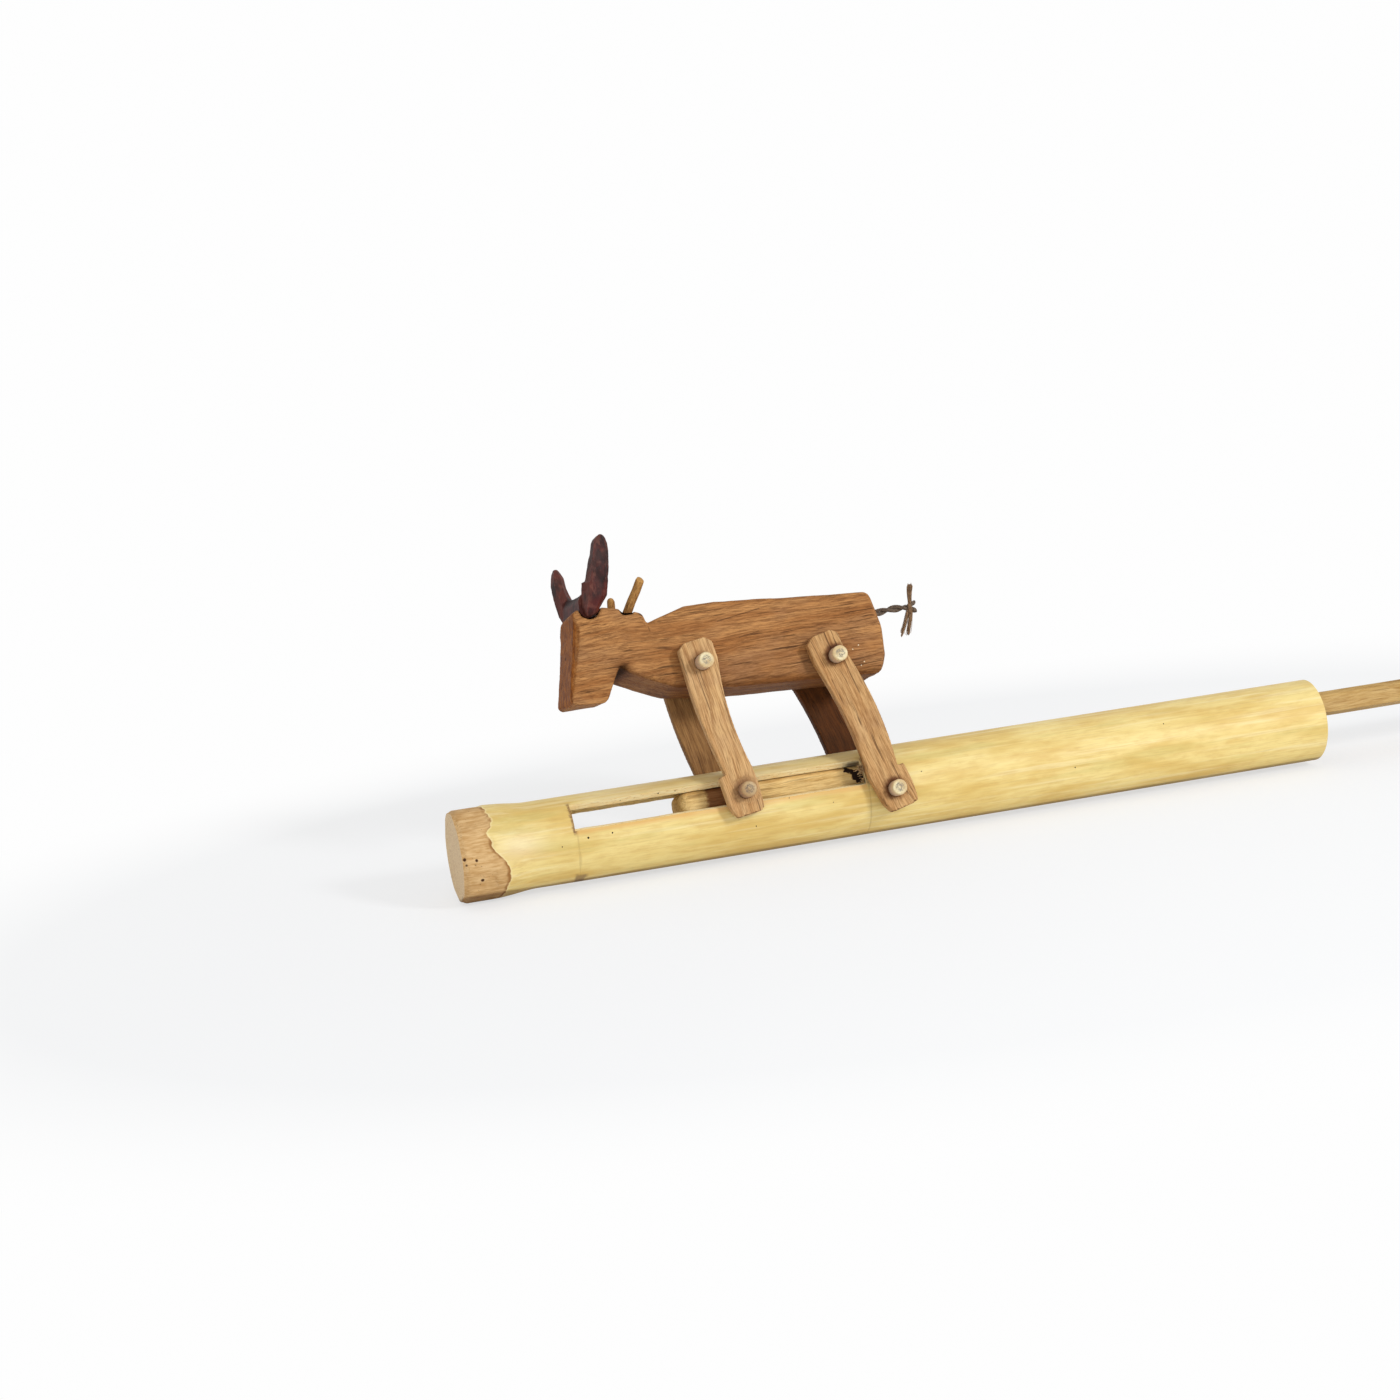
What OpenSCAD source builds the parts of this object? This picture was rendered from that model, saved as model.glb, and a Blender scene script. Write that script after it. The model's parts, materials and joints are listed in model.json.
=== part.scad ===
// Bamboo jumping animal: a tube with a long slot, a push rod inside it, and a carved animal on four legs.
// The toy lies on a table as a toy put down does: it rolls back until the far rear foot touches.
// Millimetres. X runs along the tube, from its closed node end towards the open hand end at X = 0.

/* [Tube] */
// Outer diameter of the bamboo
tube_d = 40; // [34:0.5:46]
// Wall thickness of the bamboo
tube_wall = 4; // [3:0.25:5]
// From the closed end to the rear pin
node_side = 205; // [195:1:240]
// From the rear pin to the open hand end
hand_side = 225; // [150:1:300]
// Thickness of the natural partition that closes the end
partition_t = 9; // [5:0.5:14]
// How far the node swells beyond the tube
node_swell = 1.8; // [0.5:0.1:3]
// Length that the swelling keeps before it fades
node_len = 16; // [10:1:22]
// Length over which the swelling fades
node_fade = 20; // [12:1:30]

/* [Slot] */
// Length of the slot through both walls
slot_len = 140; // [128:1:150]
// Height of the slot
slot_h = 9.2; // [8.6:0.1:9.8]
// Height of the slot's middle over the tube's axis
slot_up = 7.4; // [6.8:0.1:8]
// From the rear pin to the nearer end of the slot
slot_gap = 11.5; // [9:0.5:16]
// Depth of the whittled bevel along the slot's lower lip
lip_bevel = 1.2; // [0.4:0.1:2]
// Width of the fine score line cut round the tube at each end of the slot
score_w = 0.6; // [0.3:0.1:1]
// Depth of the score line
score_depth = 0.2; // [0.1:0.05:0.4]

/* [Push rod] */
// Width of the rod across the tube
rod_w = 24; // [20:0.5:26]
// Height of the rod
rod_h = 10.8; // [10.4:0.1:11.2]
// From the front pin to the rounded tip of the rod
rod_tip = 27.5; // [20:0.5:36]
// Length of rod that stands out of the hand end
rod_out = 110; // [80:1:160]
// Corner radius of the rod's two ends, seen from above
rod_end_r = 6; // [3:0.5:9]
// Gap between the rod and what it slides past
rod_clear = 0.35; // [0.25:0.05:0.5]

/* [Pins] */
// Diameter of all four pins
pin_d = 7.4; // [6.6:0.1:7.8]
// Gap round a pin in the holes that turn on it
pin_clear = 0.08; // [0.04:0.01:0.1]
// How much the legs' holes squeeze the pins
pin_squeeze = 0.05; // [0.02:0.01:0.08]
// How far the near end of the front top pin stands out of its leg
proud_front_top = 8; // [3:0.5:10]
// The same for the rear top pin
proud_rear_top = 7; // [3:0.5:10]
// The same for the front bottom pin
proud_front_bottom = 6.5; // [3:0.5:10]
// The same for the rear bottom pin
proud_rear_bottom = 6; // [3:0.5:10]
// The same for the far ends of all four pins
proud_far = 3; // [1:0.5:4]
// Bevel cut round each pin's ends
pin_bevel = 0.6; // [0.2:0.1:1]

/* [Stance] */
// Distance between the two bottom pins along the tube
stance = 71.1; // [66:0.1:76]
// Height of the rear bottom pin under the tube's axis
rear_pin_down = 2.7; // [2.2:0.1:3.2]
// Pin to pin length of the front legs
front_leg_len = 62.2; // [59:0.1:66]
// Pin to pin length of the rear legs
rear_leg_len = 67.8; // [65:0.1:71]
// Lean of the rear legs towards the node end, degrees
rear_leg_tilt = 14.4; // [12:0.1:17]
// Distance between the body's two pin holes, along the body
hole_gap = 63.9; // [60:0.1:68]
// Height of the front pin hole over the rear one
hole_rise = 6.1; // [4:0.1:8]
// Extra radius of the front pin hole, so that the legs can scissor
loose_hole = 2.2; // [1.5:0.1:2.4]

/* [Legs] */
// Thickness of the legs
leg_t = 5.1; // [4:0.1:6]
// Gap between the tube and the legs
leg_gap = 1.5; // [1:0.1:2.5]
// Least gap between the animal's sides and the legs
body_gap = 1.2; // [0.6:0.1:2]
// Wood beyond the top pin of a front leg
front_leg_over = 11; // [9:0.5:13]
// Wood beyond the top pin of a rear leg
rear_leg_over = 12.4; // [9:0.5:14]
// Foot below the bottom pin of a front leg
front_foot = 11; // [9:0.5:12]
// Foot below the bottom pin of a rear leg
rear_foot = 9.5; // [8.5:0.5:11]
// Height of a foot's shoulder over the bottom pin
shoulder_up = 9.5; // [8:0.5:12]
// Corner radius of the legs
leg_corner = 2.2; // [1:0.1:3]

/* [Animal] */
// Thickness of the block that the animal is carved from
body_w = 40.5; // [37:0.5:44]
// From the rear pin hole back to the rump
rump_len = 27; // [24:0.5:30]
// From the rear pin hole forward to the throat cut
throat_len = 101; // [98:0.5:104]
// From the throat cut forward to the tip of the nose
muzzle_len = 25.8; // [22:0.2:29]
// From the throat cut forward to the middle of the horns
horn_len = 10.5; // [8:0.5:13]
// Height of the back over the rear pin hole
back_high = 34.6; // [31:0.2:37]
// Depth of the belly under the rear pin hole
belly_low = 9; // [7.5:0.5:10]
// Height of the throat cut over the rear pin hole
throat_high = 10.6; // [8:0.2:13]
// Height of the head's top over the rear pin hole
head_high = 39.6; // [37:0.2:42]
// Depth of the muzzle's near edge under the throat cut
muzzle_low = 15.4; // [12:0.2:18]
// Length of the muzzle's underside
muzzle_sole = 17.4; // [14:0.2:20]
// Rise of the muzzle's underside from the near side to the far side, degrees
muzzle_slant = 4; // [0:0.5:8]
// Bevel cut under the chin
chin_cut = 2.4; // [1:0.2:4]
// From the throat cut back to the nape
nape_back = 17.4; // [15:0.2:20]
// Length of the slope from the nape to the back
nape_run = 18; // [14:0.5:22]
// From the rear pin hole forward to the front of the back
back_front = 52; // [46:1:58]
// From the rear pin hole forward to where the back starts to fall
back_rear = 14; // [8:1:20]
// Depth of the carved rounding along the edges
edge_r = 2.4; // [1.6:0.2:5]
// Radius of the long soft curves of the rump and the belly
soft_r = 20; // [12:1:28]
// Width of the front of the head
face_w = 31; // [26:0.5:36]

/* [Horns] */
// Radius of the round notch that holds the horns
notch_r = 5; // [4.4:0.1:5.6]
// Gap between the horns and their notch
notch_clear = 0.15; // [0.05:0.05:0.3]
// Height of the near horn over the notch's centre
near_horn_h = 33.6; // [28:0.2:40]
// Height of the far horn over the notch's centre
far_horn_h = 26.6; // [20:0.2:32]
// Turn of the horn piece, seen from above, degrees
horn_skew = 4; // [0:0.5:12]

/* [Ears] */
// Diameter of the two ear pegs
ear_d = 4.4; // [3:0.1:5]
// Length of the near ear peg that shows
near_ear_len = 17.4; // [12:0.1:22]
// Length of the far ear peg that shows
far_ear_len = 10; // [6:0.5:14]
// Depth of the ears' holes
ear_hole = 10; // [6:0.5:14]
// Diameter of the near hole's worn mouth
ear_mouth_d = 7.4; // [6:0.1:8]

/* [Tail] */
// Diameter of the twisted string
string_d = 3.4; // [2:0.1:4]
// Length of string from the body to its knot
string_len = 21; // [16:0.5:28]
// Length of the tuft above the knot
tuft_up = 11.5; // [8:0.5:16]
// Length of the tufts below the knot
tuft_down = 14.5; // [8:0.5:16]

/* [Hidden] */

tube_r = tube_d / 2;
bore_r = tube_r - tube_wall;
pin_r = pin_d / 2;
node_r = tube_r + node_swell;
leg_in = max(tube_r + leg_gap, body_w / 2 + body_gap);
leg_out = leg_in + leg_t;
past = 1;
big = 80;
round_fn = 96;
pin_fn = 48;
arc_steps = 5;

// Side view, with X = 0 at the rear bottom pin and Z = 0 on the tube's axis.
slot_end = -slot_gap;
rear_bottom = [0, -rear_pin_down];
front_bottom = [-stance, slot_up];
rear_top = rear_bottom + rear_leg_len * [-sin(rear_leg_tilt), cos(rear_leg_tilt)];
body_holes = norm([hole_gap, hole_rise]);
front_top = upper_meeting(front_bottom, front_leg_len, rear_top, body_holes);
body_pitch = atan2(front_top[1] - rear_top[1], rear_top[0] - front_top[0]) - atan2(hole_rise, hole_gap);
rod_low = -rear_pin_down + pin_r + rod_clear;
rod_start = -stance - rod_tip;

// The far rear foot's lowest corner decides how far the toy rolls back before it rests.
foot_back = 8;
foot_corner = on_leg(rear_bottom, rear_top, [-foot_back, -rear_foot]);
roll_back = asin(node_r / norm([leg_out, foot_corner[1]])) - atan2(-foot_corner[1], leg_out);

// The higher of the two points that lie ra from a and rb from b.
function upper_meeting(a, ra, b, rb) =
    let (d = norm(b - a), t = (ra * ra - rb * rb + d * d) / (2 * d), h = sqrt(ra * ra - t * t),
        along = (b - a) / d)
    a + along * t + h * [-along[1], along[0]];

// A point given across and along a leg, in the side view.
function on_leg(low, high, p) =
    let (along = (high - low) / norm(high - low))
    low + p[0] * [along[1], -along[0]] + p[1] * along;

function unit(v) = v / norm(v);

// The outline with its corners rounded: each point is [x, y, radius].
function rounded(pts) = [for (i = [0 : len(pts) - 1])
    each corner(xy(pts[(i + len(pts) - 1) % len(pts)]), pts[i], xy(pts[(i + 1) % len(pts)]))];
function xy(p) = [p[0], p[1]];
function corner(before, p, after) = p[2] == 0 ? [xy(p)] :
    let (b = xy(p), u = unit(before - b), v = unit(after - b), half = acos(u * v) / 2,
        mid = b + unit(u + v) * p[2] / sin(half), from = b + u * p[2] / tan(half) - mid,
        to = b + v * p[2] / tan(half) - mid, a = atan2(from[1], from[0]),
        turn = (atan2(to[1], to[0]) - a + 540) % 360 - 180)
    [for (k = [0 : arc_steps]) mid + p[2] * [cos(a + turn * k / arc_steps), sin(a + turn * k / arc_steps)]];

// A smooth curve through three values: at the top (1), the middle (0.5) and the ankle (0).
function bowed(v, t) = v[0] * t * (2 * t - 1) + 4 * v[1] * t * (1 - t) + v[2] * (1 - t) * (1 - 2 * t);

// Puts a piece drawn upright over the rear pin into the toy's lying place.
module placed() rotate([-roll_back, 0, 0]) translate([-hand_side, 0, 0]) children();

// Stands a side view outline up as a plate between two Y values.
module plate(y0, y1) translate([0, y1, 0]) rotate([90, 0, 0]) linear_extrude(height = y1 - y0) children();

// A round bar or hole across the toy.
module across(at, r, y0, y1, fn = pin_fn) translate([at[0], y1, at[1]]) rotate([90, 0, 0])
    cylinder(r = r, h = y1 - y0, $fn = fn);

// Turns a shape that stands on the origin to stand on a and point along d.
module pointed(a, d) translate(a) rotate([0, acos(d[2] / norm(d)), atan2(d[1], d[0])]) children();

// A round bar or hole from one point to another.
module rod_between(a, b, r, fn = 24) pointed(a, b - a) cylinder(r = r, h = norm(b - a), $fn = fn);

// The bamboo tube. The swelling fades in a smooth step, and two score lines mark the slot's ends.
fade_steps = 8;
scores = [slot_end - slot_len - score_w, slot_end + score_w];
function fade(t) = 1 - t * t * (3 - 2 * t);
tube_line = concat(
    [[0, -node_side], [node_r - past, -node_side], [node_r, -node_side + past]],
    [for (i = [0 : fade_steps]) let (t = i / fade_steps)
        [tube_r + node_swell * fade(t), -node_side + node_len + node_fade * t]],
    [for (x = scores) each [[tube_r, x - score_w / 2], [tube_r - score_depth, x], [tube_r, x + score_w / 2]]],
    [[tube_r, hand_side], [bore_r, hand_side], [bore_r, -node_side + partition_t],
        [0, -node_side + partition_t]]);

// Whittled flats round the swollen node, none of them where the toy rests.
flat_turns = [8, 47, 88, 131, 170, 214, 318];
flat_depth = 0.7;
slot_low = slot_up - slot_h / 2;
lip_in = tube_r - 0.6 * tube_wall;

module bamboo_tube() color([0.89, 0.8, 0.52]) placed() difference() {
    rotate([0, 90, 0]) rotate_extrude($fn = round_fn) polygon(tube_line);
    // The slot, open through both walls, and the bevel of its lower lips
    translate([slot_end - slot_len, -tube_d, slot_low]) cube([slot_len, 2 * tube_d, slot_h]);
    translate([slot_end - slot_len, 0, 0]) rotate([90, 0, 90]) linear_extrude(height = slot_len)
        for (s = [-1, 1]) polygon([[s * lip_in, slot_low + past], [s * lip_in, slot_low],
            [s * tube_r, slot_low - lip_bevel], [s * tube_r, slot_low + past]]);
    across(rear_bottom, pin_r + pin_clear, -tube_r - past, tube_r + past);
    for (a = flat_turns) rotate([a, 0, 0])
        translate([-node_side - past, -tube_r, node_r - flat_depth])
            cube([node_len - past, tube_d, past + flat_depth]);
}

// The push rod is flat below, so that it passes over the rear pin, and rounded above to fit the bore.
module slider_rod() color([0.77, 0.63, 0.38]) placed() difference() {
    intersection() {
        translate([rod_start, 0, rod_low]) rod_plan(hand_side + rod_out - rod_start);
        translate([rod_start - past, 0, 0]) rotate([0, 90, 0])
            cylinder(r = bore_r - rod_clear, h = hand_side + rod_out - rod_start + 2 * past, $fn = round_fn);
    }
    across(front_bottom, pin_r + pin_clear, -rod_w, rod_w);
}
module rod_plan(l) linear_extrude(height = rod_h) {
    translate([rod_end_r, -rod_w / 2]) square([l - 2 * rod_end_r, rod_w]);
    translate([0, -rod_w / 2 + rod_end_r]) square([l, rod_w - 2 * rod_end_r]);
    for (x = [rod_end_r, l - rod_end_r], y = [-1, 1])
        translate([x, y * (rod_w / 2 - rod_end_r)]) circle(r = rod_end_r, $fn = pin_fn);
}

// Legs. Each edge is a bowed line from the top to the ankle, and the foot below it is wider.
front_edges = [[-9.4, -9.6, -6.8], [7.6, 4.5, 6.4]];
rear_edges = [[-11.2, -8.2, -9.6], [5.2, 8, 5.4]];
front_sole = [-10, 6.8];
rear_sole = [-foot_back, 9];
edge_steps = 8;
sole_inset = [2, 1];
top_inset = [4, 3];
top_drop = 2.5;
ankle_nick = 0.4;

function leg_outline(length, over, foot, edges, sole) =
    let (side = function (e) [for (i = [0 : edge_steps]) let (t = i / edge_steps)
            [bowed(e, t), shoulder_up + t * (length - shoulder_up), 0]],
        back = side(edges[0]), hand = side(edges[1]))
    concat([[sole[0] + sole_inset[0], -foot, leg_corner], [sole[1] - sole_inset[1], -foot, leg_corner],
            [sole[1], 0, 0], [sole[1] - ankle_nick, shoulder_up, ankle_nick]], hand,
        [[edges[1][0], length + over - top_drop, leg_corner],
            [edges[1][0] - top_inset[1], length + over, leg_corner],
            [edges[0][0] + top_inset[0], length + over, leg_corner],
            [edges[0][0] + ankle_nick, length + over - top_drop, leg_corner]],
        [for (i = [edge_steps : -1 : 0]) back[i]],
        [[min(sole[0], edges[0][2]), shoulder_up - ankle_nick, 0], [sole[0], -foot / 2, 0]]);

module leg(low, high, over, foot, edges, sole, side) {
    tilt = atan2(low[0] - high[0], high[1] - low[1]);
    y0 = side < 0 ? -leg_out : leg_in;
    difference() {
        translate([low[0], 0, low[1]]) rotate([0, -tilt, 0]) plate(y0, y0 + leg_t)
            polygon(rounded(leg_outline(norm(high - low), over, foot, edges, sole)));
        for (at = [low, high]) across(at, pin_r - pin_squeeze, -leg_out - past, leg_out + past);
    }
}
module front_leg(side) placed()
    leg(front_bottom, front_top, front_leg_over, front_foot, front_edges, front_sole, side);
module rear_leg(side) placed()
    leg(rear_bottom, rear_top, rear_leg_over, rear_foot, rear_edges, rear_sole, side);
module front_leg_near() color([0.75, 0.58, 0.38]) front_leg(-1);
module front_leg_far() color([0.7, 0.53, 0.34]) front_leg(1);
module rear_leg_near() color([0.72, 0.54, 0.35]) rear_leg(-1);
module rear_leg_far() color([0.42, 0.23, 0.14]) rear_leg(1);

// A pin is a plain stick with its ends bevelled.
module pin(at, near_proud) color([0.91, 0.85, 0.66]) placed() {
    y0 = -leg_out - near_proud;
    y1 = leg_out + proud_far;
    across(at, pin_r, y0 + pin_bevel, y1 - pin_bevel);
    translate([at[0], y0, at[1]]) rotate([-90, 0, 0])
        cylinder(r1 = pin_r - pin_bevel, r2 = pin_r, h = pin_bevel, $fn = pin_fn);
    translate([at[0], y1, at[1]]) rotate([90, 0, 0])
        cylinder(r1 = pin_r - pin_bevel, r2 = pin_r, h = pin_bevel, $fn = pin_fn);
}
module front_top_pin() pin(front_top, proud_front_top);
module rear_top_pin() pin(rear_top, proud_rear_top);
module front_bottom_pin() pin(front_bottom, proud_front_bottom);
module rear_bottom_pin() pin(rear_bottom, proud_rear_bottom);

// The animal is drawn with the rear pin hole at the origin, and stands on the two top pins.
module on_body() placed() translate([rear_top[0], 0, rear_top[1]]) rotate([0, body_pitch, 0]) children();

// Side view of the carved block: rump, back, neck, head, muzzle, throat cut, breast and belly.
neck_x = nape_back - throat_len;
nose_x = -throat_len - muzzle_len;
head_x = -throat_len - horn_len;
muzzle_z = throat_high - muzzle_low;
body_line = rounded(concat(
    [[rump_len - 4.4, -belly_low - 1.4, 3], [rump_len - 0.8, -belly_low / 3, soft_r / 3],
        [rump_len, back_high / 3, soft_r], [rump_len - 3.2, back_high - 6, 4],
        [-back_rear, back_high - 3.2, 0], [-back_front, back_high, 0], [neck_x + nape_run, back_high, 6]],
    [[neck_x - 1, head_high - 10.6, 0], [neck_x - 2.4, head_high - 5.8, 2.5],
        [head_x + 13.5, head_high - 1.8, 0], [head_x + 7, head_high - 0.4, 0],
        [head_x - 6.9, head_high, 2], [head_x - 7.7, head_high - 9.6, 10]],
    [[nose_x, muzzle_z + 1, 3], [nose_x + muzzle_sole, muzzle_z, 3],
        [-throat_len, throat_high, 0], [-throat_len + 3, throat_high - 2.8, 0],
        [-throat_len + 12.4, throat_high - 7.6, 6]],
    [[-throat_len + 25, throat_high - 13.4, soft_r / 2], [6 - back_front, -belly_low + 2.4, soft_r],
        [0, -belly_low, soft_r]]));

// Seen from above the head narrows from the cheeks to the face, which is set a little to one side.
cheek_x = 9.5 - throat_len;
face_x = nose_x - 13;
face_shift = -1.3;

module carved_block() intersection() {
    difference() {
        minkowski() {
            rotate([90, 0, 0]) linear_extrude(height = body_w - 2 * edge_r, center = true)
                offset(delta = -edge_r) polygon(body_line);
            sphere(r = edge_r, $fn = 10);
        }
        translate([nose_x, -body_w / 2, muzzle_z]) rotate([muzzle_slant, 0, 0]) {
            translate([-past, -body_w / 2, -body_w]) cube([-throat_len - nose_x, 2 * body_w, body_w]);
            translate([chin_cut, -body_w / 2, 0]) rotate([0, 45, 0])
                translate([-body_w / 4, 0, -body_w / 2]) cube([body_w / 2, 2 * body_w, body_w / 2]);
        }
    }
    translate([0, 0, -big / 2]) linear_extrude(height = 2 * big)
        polygon([[rump_len + past, -body_w], [rump_len + past, body_w], [cheek_x, body_w],
            [cheek_x, body_w / 2], [face_x, face_shift + face_w / 2], [face_x, face_shift - face_w / 2],
            [cheek_x, -body_w / 2], [cheek_x, -body_w]]);
}

// The horns sit in a round notch across the top of the head.
notch_at = [head_x, 0, head_high];
module in_notch() translate(notch_at) rotate([0, 0, horn_skew]) children();
module horn_notch() in_notch() {
    rotate([90, 0, 0]) cylinder(r = notch_r, h = body_w + 2 * past, center = true, $fn = pin_fn);
    translate([-notch_r, -body_w / 2 - past, 0]) cube([2 * notch_r, body_w + 2 * past, notch_r]);
}

// Ears: a mouth point on the head and the direction that the peg leans in.
near_ear_at = [head_x + 21.4, 10.75 - body_w / 2, head_high - 3.6];
near_ear_dir = unit([0.47, -0.3, 1]);
far_ear_at = [head_x + 17.5, body_w / 2 - 10.75, head_high - 2.6];
far_ear_dir = unit([0.06, 0.1, 1]);
near_ear_dome = 0.6;
ear_hole_r = ear_d / 2 + pin_clear;
tail_at = [rump_len, 0, back_high - 14.2];
tail_hole_r = string_d / 2 + pin_clear;

module animal_body() color([0.66, 0.45, 0.26]) on_body() difference() {
    carved_block();
    across([0, 0], pin_r + pin_clear, -body_w, body_w);
    across([-hole_gap, hole_rise], pin_r + loose_hole, -body_w, body_w);
    horn_notch();
    rod_between(near_ear_at - ear_hole * near_ear_dir, near_ear_at + ear_hole * near_ear_dir, ear_hole_r);
    pointed(near_ear_at, near_ear_dir) translate([0, 0, -ear_hole / 2])
        cylinder(r1 = ear_hole_r, r2 = ear_mouth_d - ear_hole_r, h = ear_hole, $fn = pin_fn);
    rod_between(far_ear_at - ear_hole * far_ear_dir, far_ear_at + ear_hole * far_ear_dir, ear_hole_r);
    rod_between(tail_at - [ear_hole, 0, 0], tail_at + [ear_hole, 0, 0], tail_hole_r);
}

// Horns: rounded blades that grow from the bar in the notch. A stage is [x, y, z] and three half sizes.
bar_r = notch_r - notch_clear;
horn_y = body_w / 2 - 4.25;
bar_top = 3.6;
near_stages = [[-0.4, -horn_y, -1.4, bar_r - 1, 3.6, bar_r - 1.5], [3.3, -horn_y - 2.5, 8.4, 6, 3.8, 4.6],
    [7.6, -horn_y - 5, 20, 4.4, 3.4, 5], [9.2, -horn_y - 7, near_horn_h - 4, 2.9, 2.2, 3.5]];
far_stages = [[0, horn_y - 0.5, 0, bar_r - 0.8, 3.6, bar_r - 0.8], [-1.6, horn_y + 2, 8, 4.2, 3.4, 4],
    [-2, horn_y + 5, far_horn_h - 3, 3, 2.2, 3]];
module horn_blade(stages) for (i = [0 : len(stages) - 2]) hull() for (s = [stages[i], stages[i + 1]])
    translate([s[0], s[1], s[2]]) scale([s[3], s[4], s[5]]) sphere(r = 1, $fn = 16);
module horns() color([0.35, 0.18, 0.17]) on_body() in_notch() {
    horn_blade(near_stages);
    horn_blade(far_stages);
    hull() for (s = [[0, bar_r], [bar_top, bar_r - bar_top / 2]]) translate([0, 0, s[0]])
        rotate([90, 0, 0]) cylinder(r = s[1], h = 2 * horn_y, center = true, $fn = 24);
}

// A peg stands in its hole and ends in a dome of the given height.
module ear_peg(at, dir, shown, dome) color([0.72, 0.53, 0.29]) on_body()
    pointed(at - (ear_hole - pin_clear) * dir, dir) rotate_extrude($fn = 32) polygon(concat(
        [[0, 0], [ear_d / 2, 0]],
        [for (k = [0 : arc_steps - 1]) let (a = 90 * k / arc_steps)
            [ear_d / 2 * cos(a), ear_hole - pin_clear + shown - dome * (1 - sin(a))]],
        [[0, ear_hole - pin_clear + shown]]));
module ear_peg_near() ear_peg(near_ear_at, near_ear_dir, near_ear_len, near_ear_dome);
module ear_peg_far() ear_peg(far_ear_at, far_ear_dir, far_ear_len, ear_d / 2);

// Tail: a stiff twisted string, its knot, and the frayed ends of its two strands.
knot_at = tail_at + [string_len, 0, 0.6];
knot_bite = 1;
string_sides = 10;
string_route = [tail_at - [ear_hole - pin_clear, 0, 0], tail_at, tail_at + [string_len * 0.3, 0, 0.2],
    tail_at + [string_len * 0.6, 0, 0.9], knot_at - [knot_bite, 0, 0]];
module tail_cord() color([0.43, 0.35, 0.28]) on_body() tube_along(string_route, string_d / 2);
// A tube along a route that runs mostly along X, with one ring of points at each stop.
module tube_along(route, r) {
    n = string_sides;
    m = len(route);
    polyhedron([for (p = route, k = [0 : n - 1]) p + r * [0, cos(360 * k / n), sin(360 * k / n)]],
        concat([[for (k = [0 : n - 1]) k]], [[for (k = [n - 1 : -1 : 0]) (m - 1) * n + k]],
            [for (i = [0 : m - 2], k = [0 : n - 1]) let (a = i * n + k, b = i * n + (k + 1) % n)
                each [[a, a + n, b], [b, a + n, b + n]]]));
}

// The knot is two crossed turns of one strand.
knot_turns = [-35, 40];
knot_ring = 2.1;
knot_string = 1.4;
module tail_knot() color([0.43, 0.35, 0.28]) on_body() difference() {
    for (a = knot_turns) translate(knot_at + [knot_string, 0, 0]) rotate([0, a + 90, 0])
        rotate_extrude($fn = 24) translate([knot_ring, 0]) circle(r = knot_string, $fn = 16);
    rod_between(knot_at - [string_len / 2, 0, 0], knot_at - [knot_bite - pin_squeeze, 0, 0], tail_hole_r);
}

// Each frayed end is a thin cone: the place of its tip from the knot, and its two radii.
tuft_ends = [[2, 0, tuft_up, 0.9, 1.9], [-6.7, -1, -tuft_down, 0.6, 0.8], [-4.1, 1, -tuft_down, 0.8, 1.1]];
tuft_gap = 0.2;
module tail_tufts() color([0.47, 0.38, 0.3]) on_body() for (t = tuft_ends) {
    start = knot_at + [tuft_gap, t[1], sign(t[2]) * (knot_ring + knot_string + tuft_gap)];
    stop = knot_at + [t[0], t[1], t[2]];
    d = stop - start;
    pointed(start, d) cylinder(r1 = t[3], r2 = t[4], h = norm(d), $fn = 16);
}

bamboo_tube();
slider_rod();
animal_body();
horns();
ear_peg_near();
ear_peg_far();
front_leg_near();
front_leg_far();
rear_leg_near();
rear_leg_far();
front_top_pin();
front_bottom_pin();
rear_top_pin();
rear_bottom_pin();
tail_cord();
tail_knot();
tail_tufts();
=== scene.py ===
# %% [markdown]
# # A bamboo toy with a jumping animal
#
# A bamboo tube has a long slot. A carved wooden animal with dark horns stands on four flat legs over
# it, and a rod that slides in the tube works the front legs like scissors. The measured solids come
# first, and never change. Each cell after that makes one piece or one finish that rides on them.

# %% Load the measured frame
import json
import math

import bmesh
import bpy
import numpy as np
from mathutils import Matrix, Vector, noise


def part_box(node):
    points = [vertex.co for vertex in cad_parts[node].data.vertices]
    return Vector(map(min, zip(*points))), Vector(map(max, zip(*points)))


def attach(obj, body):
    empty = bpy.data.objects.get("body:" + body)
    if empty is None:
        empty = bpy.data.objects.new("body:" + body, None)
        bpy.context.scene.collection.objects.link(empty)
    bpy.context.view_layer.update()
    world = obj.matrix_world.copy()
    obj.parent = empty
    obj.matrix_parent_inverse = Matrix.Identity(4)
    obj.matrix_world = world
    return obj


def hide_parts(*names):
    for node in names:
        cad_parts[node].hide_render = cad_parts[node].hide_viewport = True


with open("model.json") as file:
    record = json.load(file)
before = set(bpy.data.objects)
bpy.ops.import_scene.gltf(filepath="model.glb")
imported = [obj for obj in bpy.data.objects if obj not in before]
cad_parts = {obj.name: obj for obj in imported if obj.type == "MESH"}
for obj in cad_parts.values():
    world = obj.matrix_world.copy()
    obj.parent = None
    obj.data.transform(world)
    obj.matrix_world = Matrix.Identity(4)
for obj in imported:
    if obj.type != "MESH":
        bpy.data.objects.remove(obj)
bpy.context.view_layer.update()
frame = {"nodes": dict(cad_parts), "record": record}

# %% [markdown]
# ## Two ways to say where a point is
#
# The toy lies on the table rolled back on its far rear foot, so everything on it is turned. Shapes
# and patterns are much easier to think about upright: X along the tube from the rear pin, Y towards
# the far side, Z up from the tube's axis, in millimetres. The joints of the frame say how far the toy
# is rolled, so two small functions can go between that upright frame and the scene.

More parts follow.
